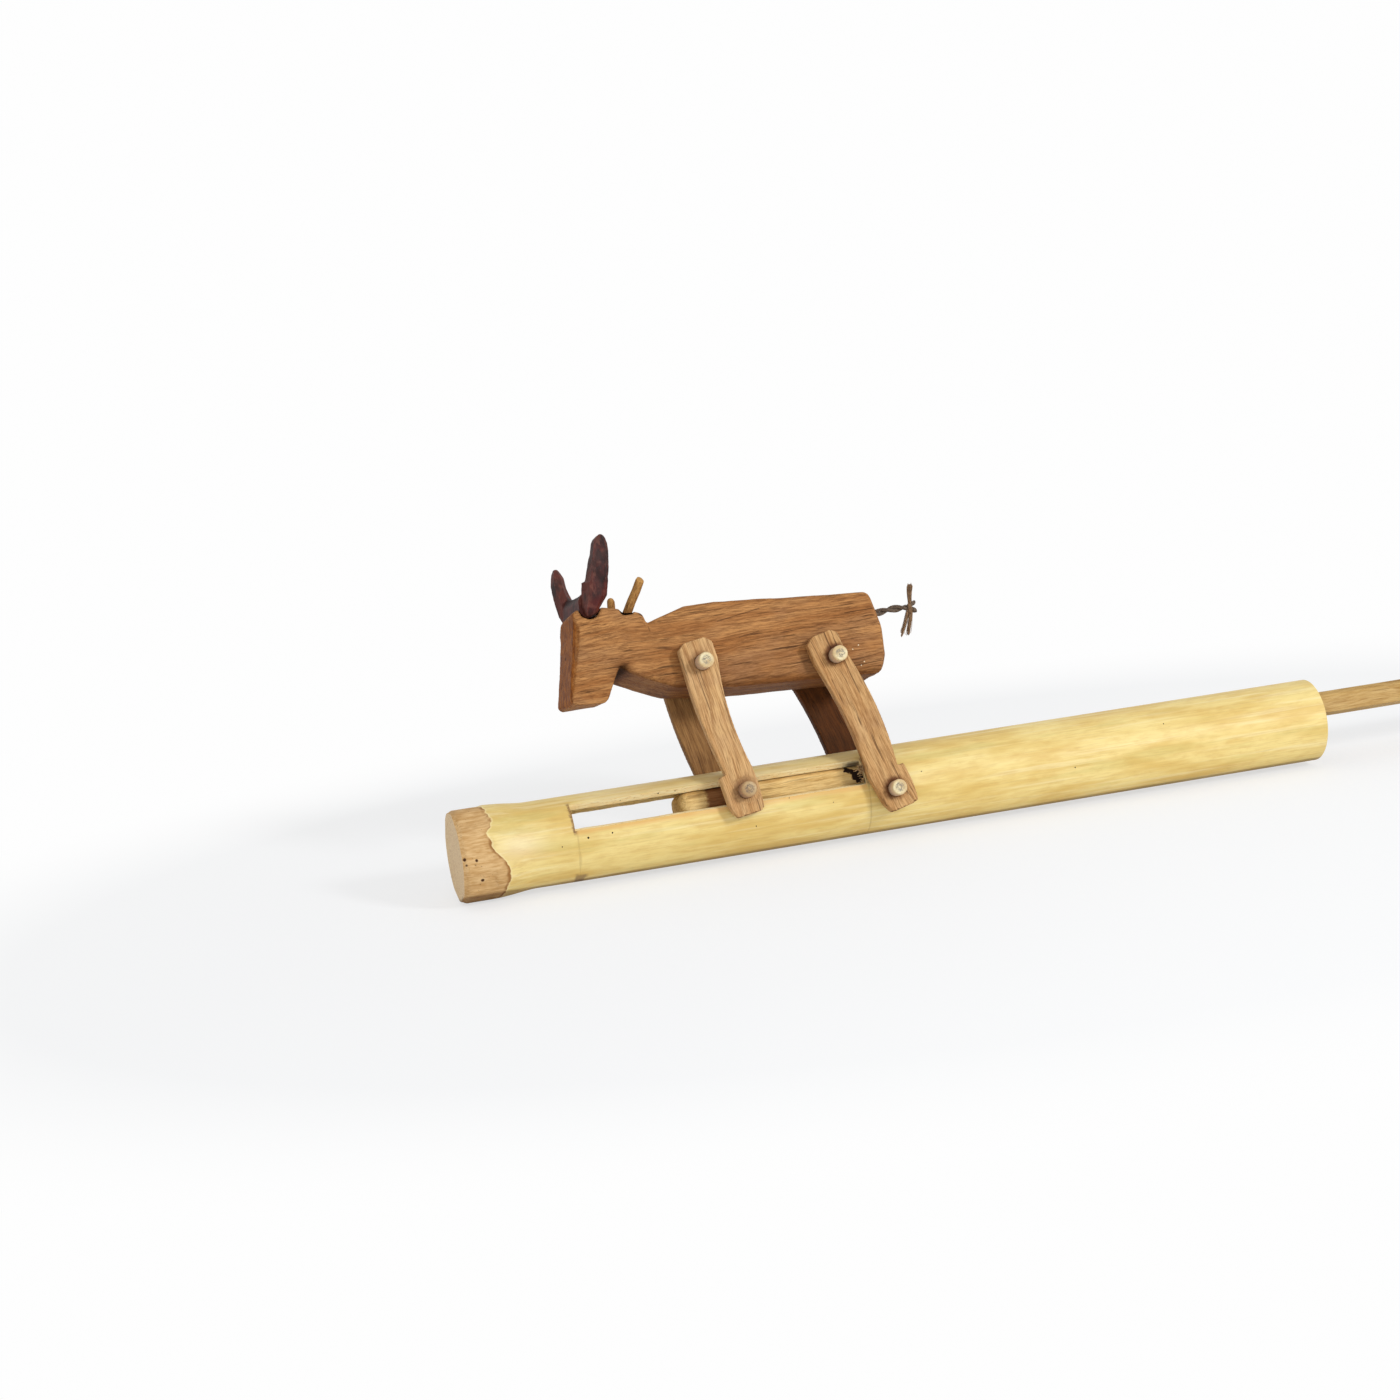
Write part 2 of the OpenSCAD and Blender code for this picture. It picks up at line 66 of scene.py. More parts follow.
# %% The upright frame
joint = {j["name"]: j for j in frame["record"]["behaviour"]["joints"]}
hinge = joint["rear_leg_swing"]
roll = math.atan2(-hinge["axis"][2], hinge["axis"][1])
cr, sr = math.cos(roll), math.sin(roll)
unroll = np.array([[1, 0, 0], [0, cr, -sr], [0, sr, cr]])
pin_x = hinge["pos_m"][0] * 1000


def upright(co):
    """Scene metres to upright millimetres, for rows of points."""
    return np.asarray(co, float) * 1000 @ unroll.T - (pin_x, 0, 0)


def lying(co):
    """Upright millimetres back to scene metres."""
    return (np.asarray(co, float) + (pin_x, 0, 0)) @ unroll / 1000


def coords_of(mesh, kind="co"):
    """The points of a mesh as rows, or their normals."""
    values = np.empty(len(mesh.vertices) * 3)
    mesh.vertices.foreach_get(kind, values)
    return values.reshape(-1, 3)


def node_box(name):
    """A node's low and high corners in the upright frame."""
    co = upright(coords_of(frame["nodes"][name].data))
    return co.min(0), co.max(0)


rear_bottom, rear_top, front_bottom = (upright(joint[n]["pos_m"]) for n in
                                       ("rear_leg_swing", "animal_rock", "front_leg_swing"))
front_top = sum(node_box("front_top_pin")) / 2 * (1, 0, 1)
print("rolled back", round(math.degrees(roll), 2), "degrees; rear top pin at", rear_top.round(1))

# %% [markdown]
# ## The camera
#
# The photograph was taken with a long lens from a little to the left of the tube and from slightly
# under its own level. The angles below came from matching the four pins and the outline of the tube.
# They are given in the upright frame, and are turned with the toy, so that the picture has the same
# view. A long lens flattens the perspective, which is why product pictures look calm.

# %% Camera
def new_object(name, data):
    o = bpy.data.objects.new(name, data)
    bpy.context.scene.collection.objects.link(o)
    return o


turn, rise, tip = np.radians([14.40, -6.14, -10.12])
target, distance, lens_mm = np.array([-78.389, 0, 54.65]), 1308.153, 71.76
back = np.array([-math.sin(turn) * math.cos(rise), -math.cos(turn) * math.cos(rise), math.sin(rise)])
right = np.array([math.cos(turn), -math.sin(turn), 0])
up = np.cross(back, right)
right, up = (math.cos(tip) * right + math.sin(tip) * up, -math.sin(tip) * right + math.cos(tip) * up)
eye = lying(target + distance * back)

axes = [v @ unroll for v in (right, up, back)]
camera = new_object("camera", bpy.data.cameras.new("camera"))
camera.matrix_world = Matrix([[*(a[i] for a in axes), eye[i]] for i in range(3)] + [[0, 0, 0, 1]])
camera.data.lens, camera.data.sensor_width = lens_mm, 36
camera.data.clip_start, camera.data.clip_end = 0.05, 50
bpy.context.scene.camera = camera
print("camera at", [round(v, 3) for v in eye], "lens", camera.data.lens)

# %% [markdown]
# ## Nodes in a few words
#
# A finish is a small tree of nodes. This class keeps each tree readable: one function adds a node and
# links or fills its inputs, and the others add the kinds that come up again and again. Colours are
# written as they look on screen, and turned into the linear values that the shader works with.

# %% Helpers for node trees
def linear(colour):
    """A colour written as rrggbb, as the linear RGBA that shaders use."""
    parts = [int(colour[i:i + 2], 16) / 255 for i in (0, 2, 4)]
    return (*(p / 12.92 if p <= 0.04045 else ((p + 0.055) / 1.055) ** 2.4 for p in parts), 1)


class Nodes:
    """Adds nodes to a tree. An input that is given a socket is linked, any other value is filled in."""

    def __init__(self, tree):
        self.tree = tree

    def put(self, socket, value):
        if isinstance(value, bpy.types.NodeSocket):
            self.tree.links.new(value, socket)
        else:
            socket.default_value = linear(value) if isinstance(value, str) else value

    def add(self, kind, inputs=None, **settings):
        n = self.tree.nodes.new(kind)
        for key, value in settings.items():
            setattr(n, key, value)
        for key, value in (inputs or {}).items():
            self.put(n.inputs[key], value)
        return n

    def calc(self, operation, a, b=0.0):
        return self.add("ShaderNodeMath", {0: a, 1: b}, operation=operation).outputs[0]

    def times(self, a, b):
        return self.calc("MULTIPLY", a, b)

    def plus(self, a, b):
        return self.calc("ADD", a, b)

    def most(self, a, b):
        return self.calc("MAXIMUM", a, b)

    def flip(self, a):
        return self.calc("SUBTRACT", 1.0, a)

    def vector(self, operation, a, b, out="Vector"):
        return self.add("ShaderNodeVectorMath", {0: a, 1: b}, operation=operation).outputs[out]

    def steps(self, fac, low, high):
        """0 below low, 1 above high, and smooth between them."""
        return self.add("ShaderNodeMapRange", {0: fac, 1: low, 2: high, 3: 0.0, 4: 1.0},
                        interpolation_type="SMOOTHSTEP").outputs[0]

    def blend(self, fac, a, b, mode="MIX"):
        """Mixes two colours, each a socket or written as rrggbb."""
        return self.add("ShaderNodeMix", {0: fac, 6: a, 7: b}, data_type="RGBA", blend_type=mode).outputs[2]

    def stretched(self, coords, scale, turned=(0, 0, 0), shift=(0, 0, 0)):
        return self.add("ShaderNodeMapping", {"Vector": coords, "Scale": scale, "Rotation": turned,
                                              "Location": shift}).outputs[0]

    def speckle(self, coords, size, detail=3.0, rough=0.55, warp=0.0):
        return self.add("ShaderNodeTexNoise", {"Vector": coords, "Scale": size, "Detail": detail,
                                               "Roughness": rough, "Distortion": warp}).outputs["Fac"]


print("node helpers ready")

# %% [markdown]
# ## A finish is built in layers
#
# Every finish here is made as a painter would: a ground of two colours that run into each other, then
# thin layers of other colours, each let through by a noise or by something painted on the mesh. The
# patterns are placed in upright millimetres, so a size in a finish is a size on the toy.

# %% A finish and its layers
class Finish(Nodes):
    """A new material whose colour is laid on in layers."""

    def __init__(self, name):
        self.material = bpy.data.materials.new(name)
        self.material.use_nodes = True
        super().__init__(self.material.node_tree)
        self.shader = self.tree.nodes["Principled BSDF"]
        self.place = self.add("ShaderNodeTexCoord").outputs["Object"]
        self.mm = self.stretched(self.place, (1000, 1000, 1000), (roll, 0, 0), (-pin_x, 0, 0))

    def grain(self, scale, detail=3.0, rough=0.55, warp=0.0, shift=(0, 0, 0), at=None):
        """A stretched noise; scale says how often it changes in a millimetre each way."""
        coords = self.stretched(self.mm if at is None else at, scale, (0, 0, 0), shift)
        return self.speckle(coords, 1.0, detail, rough, warp)

    def painted(self, name):
        """A value that was painted on the mesh's points."""
        return self.add("ShaderNodeAttribute", attribute_name=name).outputs["Fac"]

    def ground(self, fac, low, high, a, b):
        self.colour = self.blend(self.steps(fac, low, high), a, b)

    def over(self, mask, weight, colour, mode="MIX"):
        self.colour = self.blend(self.times(mask, weight), self.colour, colour, mode)

    def layer(self, fac, low, high, weight, colour):
        self.over(self.steps(fac, low, high), weight, colour)

    def wear(self, name, weight, colour, mode="MIX"):
        self.over(self.painted(name), weight, colour, mode)

    def dots(self, coords, places, radius):
        """1 inside any of a few small round spots, each given by its centre."""
        found = [self.vector("DISTANCE", coords, place, "Value") for place in places]
        nearest = found[0]
        for d in found[1:]:
            nearest = self.calc("MINIMUM", nearest, d)
        return self.flip(self.steps(nearest, radius * 0.7, radius * 1.2))

    def stroke(self, coords, a, b, width):
        """1 along a straight cut from a to b."""
        a, b = np.array(a, float), np.array(b, float)
        long = b - a
        rel = self.vector("SUBTRACT", coords, tuple(a))
        t = self.vector("DOT_PRODUCT", rel, tuple(long / (long @ long)), "Value")
        t = self.most(self.calc("MINIMUM", t, 1.0), 0.0)
        on = self.add("ShaderNodeVectorMath", {0: tuple(long), "Scale": t}, operation="SCALE").outputs[0]
        return self.flip(self.steps(self.vector("DISTANCE", rel, on, "Value"), width * 0.3, width))

    def done(self, rough, shine=0.5, height=None, depth_mm=0.0):
        """Gives the shader its colour, roughness, shine and fine relief, and returns the material."""
        values = {"Base Color": self.colour, "Roughness": rough, "Specular IOR Level": shine}
        if height is not None:
            relief = {"Height": height, "Distance": depth_mm / 1000, "Strength": 1.0}
            values["Normal"] = self.add("ShaderNodeBump", relief).outputs[0]
        for key, value in values.items():
            self.put(self.shader.inputs[key], value)
        return self.material


print("layers ready")

# %% [markdown]
# ## The wood finishes
#
# Open-grained wood shows three things at once: broad bands of lighter and darker growth, fine lines
# along the grain, and short dark pores cut open by the knife. Each is a noise that is stretched along
# the grain, and they differ only in size. One function makes them all, so that the body, the legs, the
# pegs and the rod share a way of looking but differ in colour and in how coarse they are.

# %% Wood
def wood(name, colours, grain=0.0, coarse=1.0, pores=0.8, rough=0.66, ends="6c3f22 8a5a34", seed=0.0,
         marks=None):
    """Colours are light, mid, grey, dark and pore. grain turns the lines in the side view, in degrees."""
    light, mid, grey, dark, pore = colours.split()
    f = Finish(name)
    lines = f.stretched(f.mm, (1, 1, 1), (0, math.radians(grain), 0), (seed, seed * 0.7, seed * 1.3))
    wander = f.calc("SUBTRACT", f.grain((0.02, 0.05, 0.05), 2.0, at=lines), 0.5)
    bent = f.vector("ADD", lines, f.add("ShaderNodeCombineXYZ", {2: f.times(wander, 5.0)}).outputs[0])

    def along(x, y, z, *look, shift=(0, 0, 0)):
        return f.grain((x / coarse, y / coarse, z / coarse), *look, shift=shift, at=bent)

    fine = along(0.07, 0.75, 1.05, 6.0, 0.74)
    hair = along(0.13, 2.4, 3.0, 3.0, 0.6)
    cut = along(0.16, 2.0, 2.8, 2.0, 0.5, shift=(6, 3, 1))
    f.ground(along(0.014, 0.16, 0.22, 3.0, 0.6, 0.3), 0.34, 0.64, mid, light)
    f.layer(f.grain((0.03, 0.06, 0.07), shift=(seed, 3, 0)), 0.44, 0.70, 0.45, grey)
    f.layer(fine, 0.42, 0.68, 0.75, dark)
    f.layer(along(0.3, 1.8, 2.2, 2.0, 0.5, shift=(8, 4, 2)), 0.56, 0.72, 0.4, light)
    f.layer(hair, 0.46, 0.66, 0.55, dark)
    f.layer(along(0.036, 0.6, 0.85, 3.0, 0.6, shift=(3, 1, 7)), 0.60, 0.67, pores * 0.85, pore)
    f.layer(cut, 0.62, 0.74, pores * 0.6, pore)
    sawn = f.blend(f.steps(f.grain((0.9, 0.55, 0.16), 5.0, 0.7), 0.42, 0.60), *ends.split())
    f.wear("end_grain", 0.92, sawn)
    f.wear("worn", 0.5, light)
    # darker where dirt_and_shade is painted: bruises on the legs, dirt on the rod's handle, the pegs darker
    # at their base, and painted shade on the body
    f.wear("dirt_and_shade", 1.0, "8a6848", "MULTIPLY")
    f.wear("stain", 1.0, "7c5248", "MULTIPLY")
    # near black where painted_hole_shade is painted: painted shade in the ear's scoop and the throat's notch,
    # with less shine there
    f.wear("painted_hole_shade", 1.0, "150b06")
    if marks:
        marks(f)
    height = f.calc("SUBTRACT", f.times(hair, 0.4), f.plus(cut, fine))
    shine = f.times(f.flip(f.painted("painted_hole_shade")), 0.14)
    return f.done(f.plus(f.times(fine, 0.2), rough - 0.1), shine, height, 0.16)


print("a way to make wood is ready")

# %% [markdown]
# The knife and the years left marks that are only on one piece: pale specks on the rump, a pore on the
# face, a cut across the neck, a crack down the near front leg. They are too fine for the mesh, so each
# is drawn in the finish as a dot or a stroke at its own place. The rod also has a painted shadow of the
# front leg and a ragged patch of painted shade, and both move with the rod.

# %% Marks on single pieces
near_face = -20.2  # depth of the body's near side


def body_marks(f):
    """Specks on the rump, a dark pore on the face and a knife cut across the neck."""
    local = f.stretched(f.mm, (1, 1, 1), (0, 0, 0), tuple(-rear_top))
    cuts = [f.stroke(local, (x0, near_face, z0), (x1, near_face, z1), width) for x0, z0, x1, z1, width in
            ((-86.0, 32.4, -84.4, 24.5, 0.42), (-114.5, 39.2, -113.2, 36.4, 0.7),
             (-52, 24.6, -31, 27.8, 0.34), (-43, 15.6, -33, 17.4, 0.3))]
    nick, rim, split, low_split = cuts
    specks = [(x, near_face, z) for x, z in ((13.5, 4), (14.9, -4.1), (13.1, -5.7), (10.4, 2.4))]
    f.over(f.dots(local, specks, 0.34), 0.85, "efdcb8")
    f.over(f.dots(local, [(-121.4, 0.6, 20)], 0.9), 1.0, "20100a")
    f.over(rim, 0.8, "dcbb8c")
    wedge = f.dots(local, [(-86.5, -19.6, 33.6)], 1.7)
    neck = f.most(f.times(nick, 0.45), f.times(wedge, 0.8))
    f.over(f.most(neck, f.times(f.most(split, low_split), 0.6)), 1.0, "3d2414")


def leg_marks(f):
    """The crack that runs down the near front leg from its pin."""
    f.over(f.stroke(f.mm, (-84.7, -26.6, 65.2), (-81.4, -26.6, 46.4), 0.3), 0.7, "4f3420")


def rod_marks(f):
    """A painted shadow of the front leg beside the front pin, and a ragged patch of painted shade near the
    slot's right end.
    """
    ragged = f.add("ShaderNodeTexNoise", {"Vector": f.mm, "Scale": 0.7, "Detail": 4.0}).outputs["Color"]
    push = 3.4  # how far the ragged noise moves an edge; its middle is half of that
    moved = f.add("ShaderNodeVectorMath", {0: ragged, 1: (push,) * 3, 2: f.mm},
                  operation="MULTIPLY_ADD").outputs[0]
    spots = [(-17.6, 10.7), (-16.0, 9.9), (-14.6, 8.6), (-14.2, 6.8), (-12.8, 5.2),
             (-12.6, 8.4), (-11.6, 6.4)]
    # painted shade: a ragged dark patch with a brown edge, for the dark gap at the slot's right end
    hollow = f.dots(moved, [(x + push / 2, -10.3, z + push / 2) for x, z in spots], 1.6)
    f.layer(hollow, 0.0, 0.3, 0.7, "8a6234")
    f.layer(hollow, 0.3, 0.65, 1.0, "22130a")
    along = f.add("ShaderNodeSeparateXYZ", {0: moved}).outputs[0]
    # painted shadow of the front leg, beside the front pin
    rubbed = f.times(f.steps(along, -86.5, -83.5), f.flip(f.steps(along, -66, -62)))
    f.over(rubbed, 0.85, "7a4430", "MULTIPLY")


body_wood = wood("body_wood", "c58e56 a46c3a 947052 643c1e 3a200e", coarse=0.9, pores=0.85,
                 ends="642f0a 9e5a16", marks=body_marks)
front_wood = wood("front_leg_wood", "deb680 cb9c66 b99068 8f6238 573720", grain=99, coarse=1.1, pores=0.7,
                  seed=31, marks=leg_marks)
rear_wood = wood("rear_leg_wood", "d6ac76 c0905c a88262 865a30 4c2f1a", grain=106, coarse=1.1, pores=0.85,
                 seed=57, marks=leg_marks)
far_front_wood = wood("far_front_leg_wood", "ad8352 92693e 826143 684626 402813", grain=99, coarse=1.3,
                      pores=0.6, seed=77)
far_rear_wood = wood("far_rear_leg_wood", "6a3c16 562f11 4c2f17 39200c 1e0f05", grain=106, pores=0.6, seed=95)
rod_wood = wood("rod_wood", "f4d696 e6c480 d6b070 bf9454 8a6434", coarse=1.2, pores=0.6, seed=12, rough=0.72,
                marks=rod_marks)
peg_wood = wood("peg_wood", "cb9a58 b07e44 9a7040 774a20 432a14", grain=64, coarse=0.7, pores=0.6, seed=8)
print("wood finishes:", len(bpy.data.materials))

# %% [markdown]
# ## Bamboo
#
# Bamboo isn't wood with rings: its skin is smooth and waxy, with long straight streaks, a little green
# left in the yellow and small brown flecks. So the streaks are much longer than any wood grain, and
# the skin is glossier. Where the maker scraped the node, the skin is gone and tan fibres show, up to a
# ragged line. That line, the scored rings and the worn lip of the slot are painted on the mesh.

# %% Bamboo skin
def bamboo():
    f = Finish("bamboo_skin")
    streak = f.grain((0.022, 0.8, 0.8), 5.0, 0.68)
    hair = f.grain((0.09, 2.4, 2.4), 3.0, 0.6)
    f.ground(f.grain((0.022, 0.10, 0.10), 3.0, 0.6), 0.34, 0.64, "dcbb6c", "edd68e")
    f.layer(f.grain((0.12, 0.32, 0.32), 4.0, 0.6, shift=(4, 4, 1)), 0.46, 0.70, 0.3, "d2a95e")
    f.layer(f.grain((0.016, 0.42, 0.42), shift=(2, 7, 5)), 0.50, 0.68, 0.3, "f8ebbe")
    f.layer(streak, 0.50, 0.72, 0.26, "c09a50")
    f.layer(hair, 0.50, 0.70, 0.22, "b08a48")
    f.layer(f.grain((0.02, 0.13, 0.13), 2.0, shift=(9, 2, 4)), 0.54, 0.72, 0.28, "c0b56c")
    # pale: painted highlights, a pale spot beside the scraped node and a pale band along the tube above the
    # slot
    f.wear("pale", 0.4, "fbf0cf")

    # the scraped node: tan fibres with a pale rim outside their edge and a brown line inside it
    raw = f.grain((0.16, 1.1, 1.1), 4.0, 0.6)
    blot = f.grain((0.10, 0.16, 0.16), 2.0, shift=(1, 8, 3))
    tan = f.blend(f.steps(raw, 0.30, 0.70), "bf935a", "deba86")
    tan = f.blend(f.times(f.steps(blot, 0.46, 0.66), 0.4), tan, "b08550")
    scraped = f.painted("scraped")
    bare = f.steps(scraped, 0.47, 0.52)
    f.layer(scraped, 0.36, 0.46, 0.45, "f4e2ae")
    f.over(bare, 1.0, tan)
    line = f.times(f.steps(scraped, 0.47, 0.53), f.flip(f.steps(scraped, 0.54, 0.74)))
    f.over(f.times(line, f.steps(blot, 0.36, 0.52)), 1.0, "9a6c3a")
    spots = f.dots(f.mm, [(-198.7, -20.7, -4.4), (-203.2, -20.0, -5.7), (-203.9, -20.4, -3.2),
                          (-196.7, -16.5, -13.3)], 0.85)
    flecks = f.grain((0.9, 0.9, 0.9), 2.0, shift=(3, 5, 2))
    flecks = f.times(f.steps(flecks, 0.69, 0.73), f.steps(scraped, 0.6, 1.0))
    f.over(f.most(spots, f.times(flecks, 0.7)), 1.0, "48290f")

    # what the knife and the hands did, and a painted shadow line along the underside where the tube meets the
    # floor
    f.wear("bevel", 0.75, "dca85e")
    shred = f.grain((0.7, 1.1, 1.1), 4.0, 0.7)
    f.wear("torn", 1.0, f.blend(f.steps(shred, 0.44, 0.66), "6a4626", "c09a68"))
    f.wear("scored", 0.75, "8b6a44")
    f.wear("dirt_and_shade", 0.8, "8a7048", "MULTIPLY")
    dull = f.plus(f.plus(0.40, f.times(bare, 0.3)), f.times(streak, 0.16))
    return f.done(dull, 0.3, f.plus(f.times(hair, 0.3), f.times(scraped, raw)), 0.10)


bamboo_skin = bamboo()
print("skin:", len(bamboo_skin.node_tree.nodes), "nodes")

# %% [markdown]
# Sawn or whittled bamboo has no skin. It shows bundles of fibre, as lines along a cut and as dots
# across it, so one finish with a few colours does for the slot's walls, the sawn ends and the bore.

# %% Cut bamboo
def cut_bamboo(name, pale, deep, dark, size=1.0):
    f = Finish(name)
    fibre = f.grain((0.12 * size, 1.6, 1.6), 4.0, 0.65)
    f.ground(fibre, 0.36, 0.66, deep, pale)
    f.layer(f.grain((0.5, 1.3, 1.3), 2.0), 0.58, 0.7, 0.6, dark)
    # darker where dirt_and_shade is painted: painted shade at the slot's right end, and the bore darker
    # further in
    f.wear("dirt_and_shade", 0.85, "2e1e12")
    return f.done(0.78, height=fibre, depth_mm=0.18)


# slot_wall and bore_wall are paler than end_wall: painted light for the slot's walls and the bore, which get
# little light, over the pale colour of cut bamboo
slot_wall = cut_bamboo("slot_wall", "fff0c0", "f6d898", "d0a866")
end_wall = cut_bamboo("end_wall", "ecd3a8", "d8b68c", "97744f", 8.0)
bore_wall = cut_bamboo("bore_wall", "fff3cc", "f8e0a8", "dcb878")
# near black walls for the beetle holes: frass and painted shade
beetle_dark = cut_bamboo("beetle_dark", "3d2817", "2a1a0e", "150c06")
print("finishes so far:", len(bpy.data.materials))

# %% [markdown]
# ## Horn wood, twigs and string
#
# The horns are cut from a dark, close wood, rubbed to a soft shine, with black clouds in the red-brown,
# pale spots where the edges have rubbed off, and a painted sheen on the near horn's front facet. The
# pins are peeled twigs with a pale skin. The string is a grey-brown plant fibre, and its finish runs
# along the strand.

# %% Horn, twig and string
def horn():
    f = Finish("horn_wood")
    cloud = f.grain((0.16, 0.2, 0.09), 4.0, 0.6, 0.6)
    fine = f.grain((1.1, 1.1, 0.12), 4.0, 0.6)
    rub = f.grain((0.45, 0.45, 0.3), 3.0, 0.6, shift=(5, 1, 2))
    f.ground(cloud, 0.34, 0.60, "2a1210", "56231d")
    f.layer(fine, 0.5, 0.7, 0.5, "2c1616")
    # pale: rubbed spots and worn tips, with a painted sheen on the near horn's front facet and a painted
    # highlight along its ridge
    pale = f.most(f.times(f.steps(rub, 0.54, 0.66), 0.5), f.times(f.painted("worn"), 0.6))
    f.over(pale, 1.0, "72463a")
    f.wear("soot", 0.85, "1f1817")
    f.wear("blood", 0.45, "5c1a18")
    return f.done(f.plus(0.40, f.times(fine, 0.25)), 0.18, f.plus(fine, f.times(cloud, 0.6)), 0.12)


def twig():
    f = Finish("peeled_twig")
    fine = f.grain((1.1, 0.1, 1.1), 3.0, 0.5)
    soft = f.grain((1.3, 0.3, 1.3), 3.0, 0.6, 1.2, (4, 0, 9))
    f.ground(fine, 0.36, 0.66, "e2cfa0", "efe1b8")
    f.layer(f.grain((2.4, 0.3, 2.4), 3.0, 0.6), 0.55, 0.72, 0.3, "c9ac78")
    f.wear("skin", 0.75, "c4a088")
    f.wear("rim", 0.6, "c09a60")
    f.wear("pith", f.plus(0.2, f.steps(soft, 0.45, 0.56)), "8d8270")
    f.wear("aged", 1.0, "b08a66", "MULTIPLY")
    f.wear("dirt_and_shade", 0.7, "7c5a38")
    return f.done(0.66, height=fine, depth_mm=0.04)


def plain_fibre(name, light, dark, size):
    f = Finish(name)
    fine = f.grain(size, 4.0, 0.65)
    f.ground(fine, 0.38, 0.64, dark, light)
    return f.done(0.86, height=fine, depth_mm=0.12)


horn_wood = horn()
twig_wood = twig()
string_fibre = plain_fibre("string_fibre", "7c6857", "44372c", (1.2, 2.6, 2.6))
frayed_fibre = plain_fibre("frayed_fibre", "a6835f", "664b33", (2.6, 2.6, 0.4))
torn_fibre = plain_fibre("torn_fibre", "d9b887", "86613a", (0.5, 1.6, 1.6))
print("materials so far:", len(bpy.data.materials))

# %% [markdown]
# ## Shaping a measured solid as a carver does
#
# A measured solid has perfect flats and corners. To carve it, its surface is first rebuilt as small
# even squares (a voxel remesh), smoothed a little so that corners lose their machine edge, and then
# each point is moved by a rule. The solid itself isn't touched: the carved copy stands in for it.

# %% An even copy of a solid
def evaluated(o, name):
    """The object with its modifiers applied, as a new plain object; the old one is removed."""
    mesh = bpy.data.meshes.new_from_object(o.evaluated_get(bpy.context.evaluated_depsgraph_get()))
    old = o.data
    bpy.data.objects.remove(o)
    bpy.data.meshes.remove(old)
    mesh.name = name
    return new_object(name, mesh)


def even_copy(node, name, voxel_mm, rounds):
    """A copy of a node with an even surface, smoothed a few rounds."""
    o = new_object(name + "_raw", frame["nodes"][node].data.copy())
    o.modifiers.new("join", "WELD").merge_threshold = 1e-5
    remesh = o.modifiers.new("even", "REMESH")
    remesh.mode, remesh.voxel_size = "VOXEL", voxel_mm / 1000
    smooth = o.modifiers.new("soften", "SMOOTH")
    smooth.factor, smooth.iterations = 0.5, rounds
    return evaluated(o, name)


def points_and_normals(o):
    return upright(coords_of(o.data)), coords_of(o.data, "normal") @ unroll.T


def set_points(o, points):
    o.data.vertices.foreach_set("co", lying(points).ravel())
    o.data.update()


print("ready to copy solids")

# %% [markdown]
# Three small rules do most of the carving and the ageing. A ramp goes smoothly from 0 to 1 between two
# values, lumps is a soft noise in millimetres, and paint keeps a value on each point for the finishes.

# %% Ramps, lumps and paint
def ramp(values, low, high):
    t = np.clip((values - low) / (high - low), 0, 1)
    return t * t * (3 - 2 * t)


def lumps(points, size_mm, seed):
    """Smooth noise from -1 to 1, one value for each point, with features of about size_mm."""
    size = np.broadcast_to(np.asarray(size_mm, float), (3,))
    return np.array([noise.noise(p) for p in (points / size + seed).tolist()])


def side_distance(points, centre):
    """How far each point is from a place, as seen from the side."""
    return np.linalg.norm((points - centre)[:, [0, 2]], axis=1)


def paint(o, name, values):
    a = o.data.attributes.get(name) or o.data.attributes.new(name, "FLOAT", "POINT")
    a.data.foreach_set("value", np.clip(values, 0, 1).astype(np.float32))


def dress(o, *materials):
    o.data.materials.clear()
    for m in materials:
        o.data.materials.append(m)


def smooth_edges(o, degrees):
    o.data.shade_smooth()
    o.data.set_sharp_from_angle(angle=math.radians(degrees))


def stand_in(o, body, slot, *nodes):
    """Puts a finished piece on its body, in place of its measured nodes."""
    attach(o, body)
    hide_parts(*nodes)
    print(o.name, "stands for", ", ".join(nodes), "-", len(o.data.polygons), "faces")


print("ready to carve and paint")

# %% [markdown]
# ## The animal's body
#
# The block was sawn from a plank and rounded with a knife, so its big faces are nearly flat and its
# edges are cut in short facets. A long bevel runs down the near edge of the face, and the near ear's
# hole has worn through to the head's top edge. Each of these is one rule that moves the points beyond
# a plane, a floor or a round back onto it. Lengths are counted from the rear top pin.

# %% Rules of the knife
body_half = 20.25  # half of the body's width
belly_round = 5  # radius of the belly's long edges


def bevel_face(p, q):
    """The knife's long bevel down the near edge of the face; returns where it is."""
    leg = np.interp(q[:, 2], [-8, -3, 20, 30, 34, 37], [0.2, 1.2, 2.7, 2.8, 1.4, -0.8])
    face_edge = np.interp(q[:, 2], [-5, 30, 39], [-126.4, -119.2, -118.6])
    over = ((face_edge - q[:, 0]) + (-18.4 - q[:, 1]) + leg) / math.sqrt(2)
    over = np.where((q[:, 0] < -108) & (q[:, 1] < -10), np.clip(over, 0, None), 0)
    p += over[:, None] * np.array([1, 1, 0]) / math.sqrt(2)
    return ramp(over, 0.02, 0.3)


def scoop_ear(p, q):
    """A slanting scoop below the head's top edge, where the near ear's hole is worn through."""
    wide = np.abs(q[:, 0] - np.interp(q[:, 1], [-20.4, -9.5], [-93.2, -90.6])) / 4.1
    floor = 33.3 + 0.3 * (q[:, 1] + 20.4) + 3.0 * wide ** 4
    scoop = (q[:, 1] < -4) & (wide < 1.3) & (q[:, 2] > floor)
    p[:, 2] = np.where(scoop, rear_top[2] + floor, p[:, 2])
    return scoop * ramp(wide, 1.12, 0.9) * ramp(q[:, 1], -20.6, -19.6)


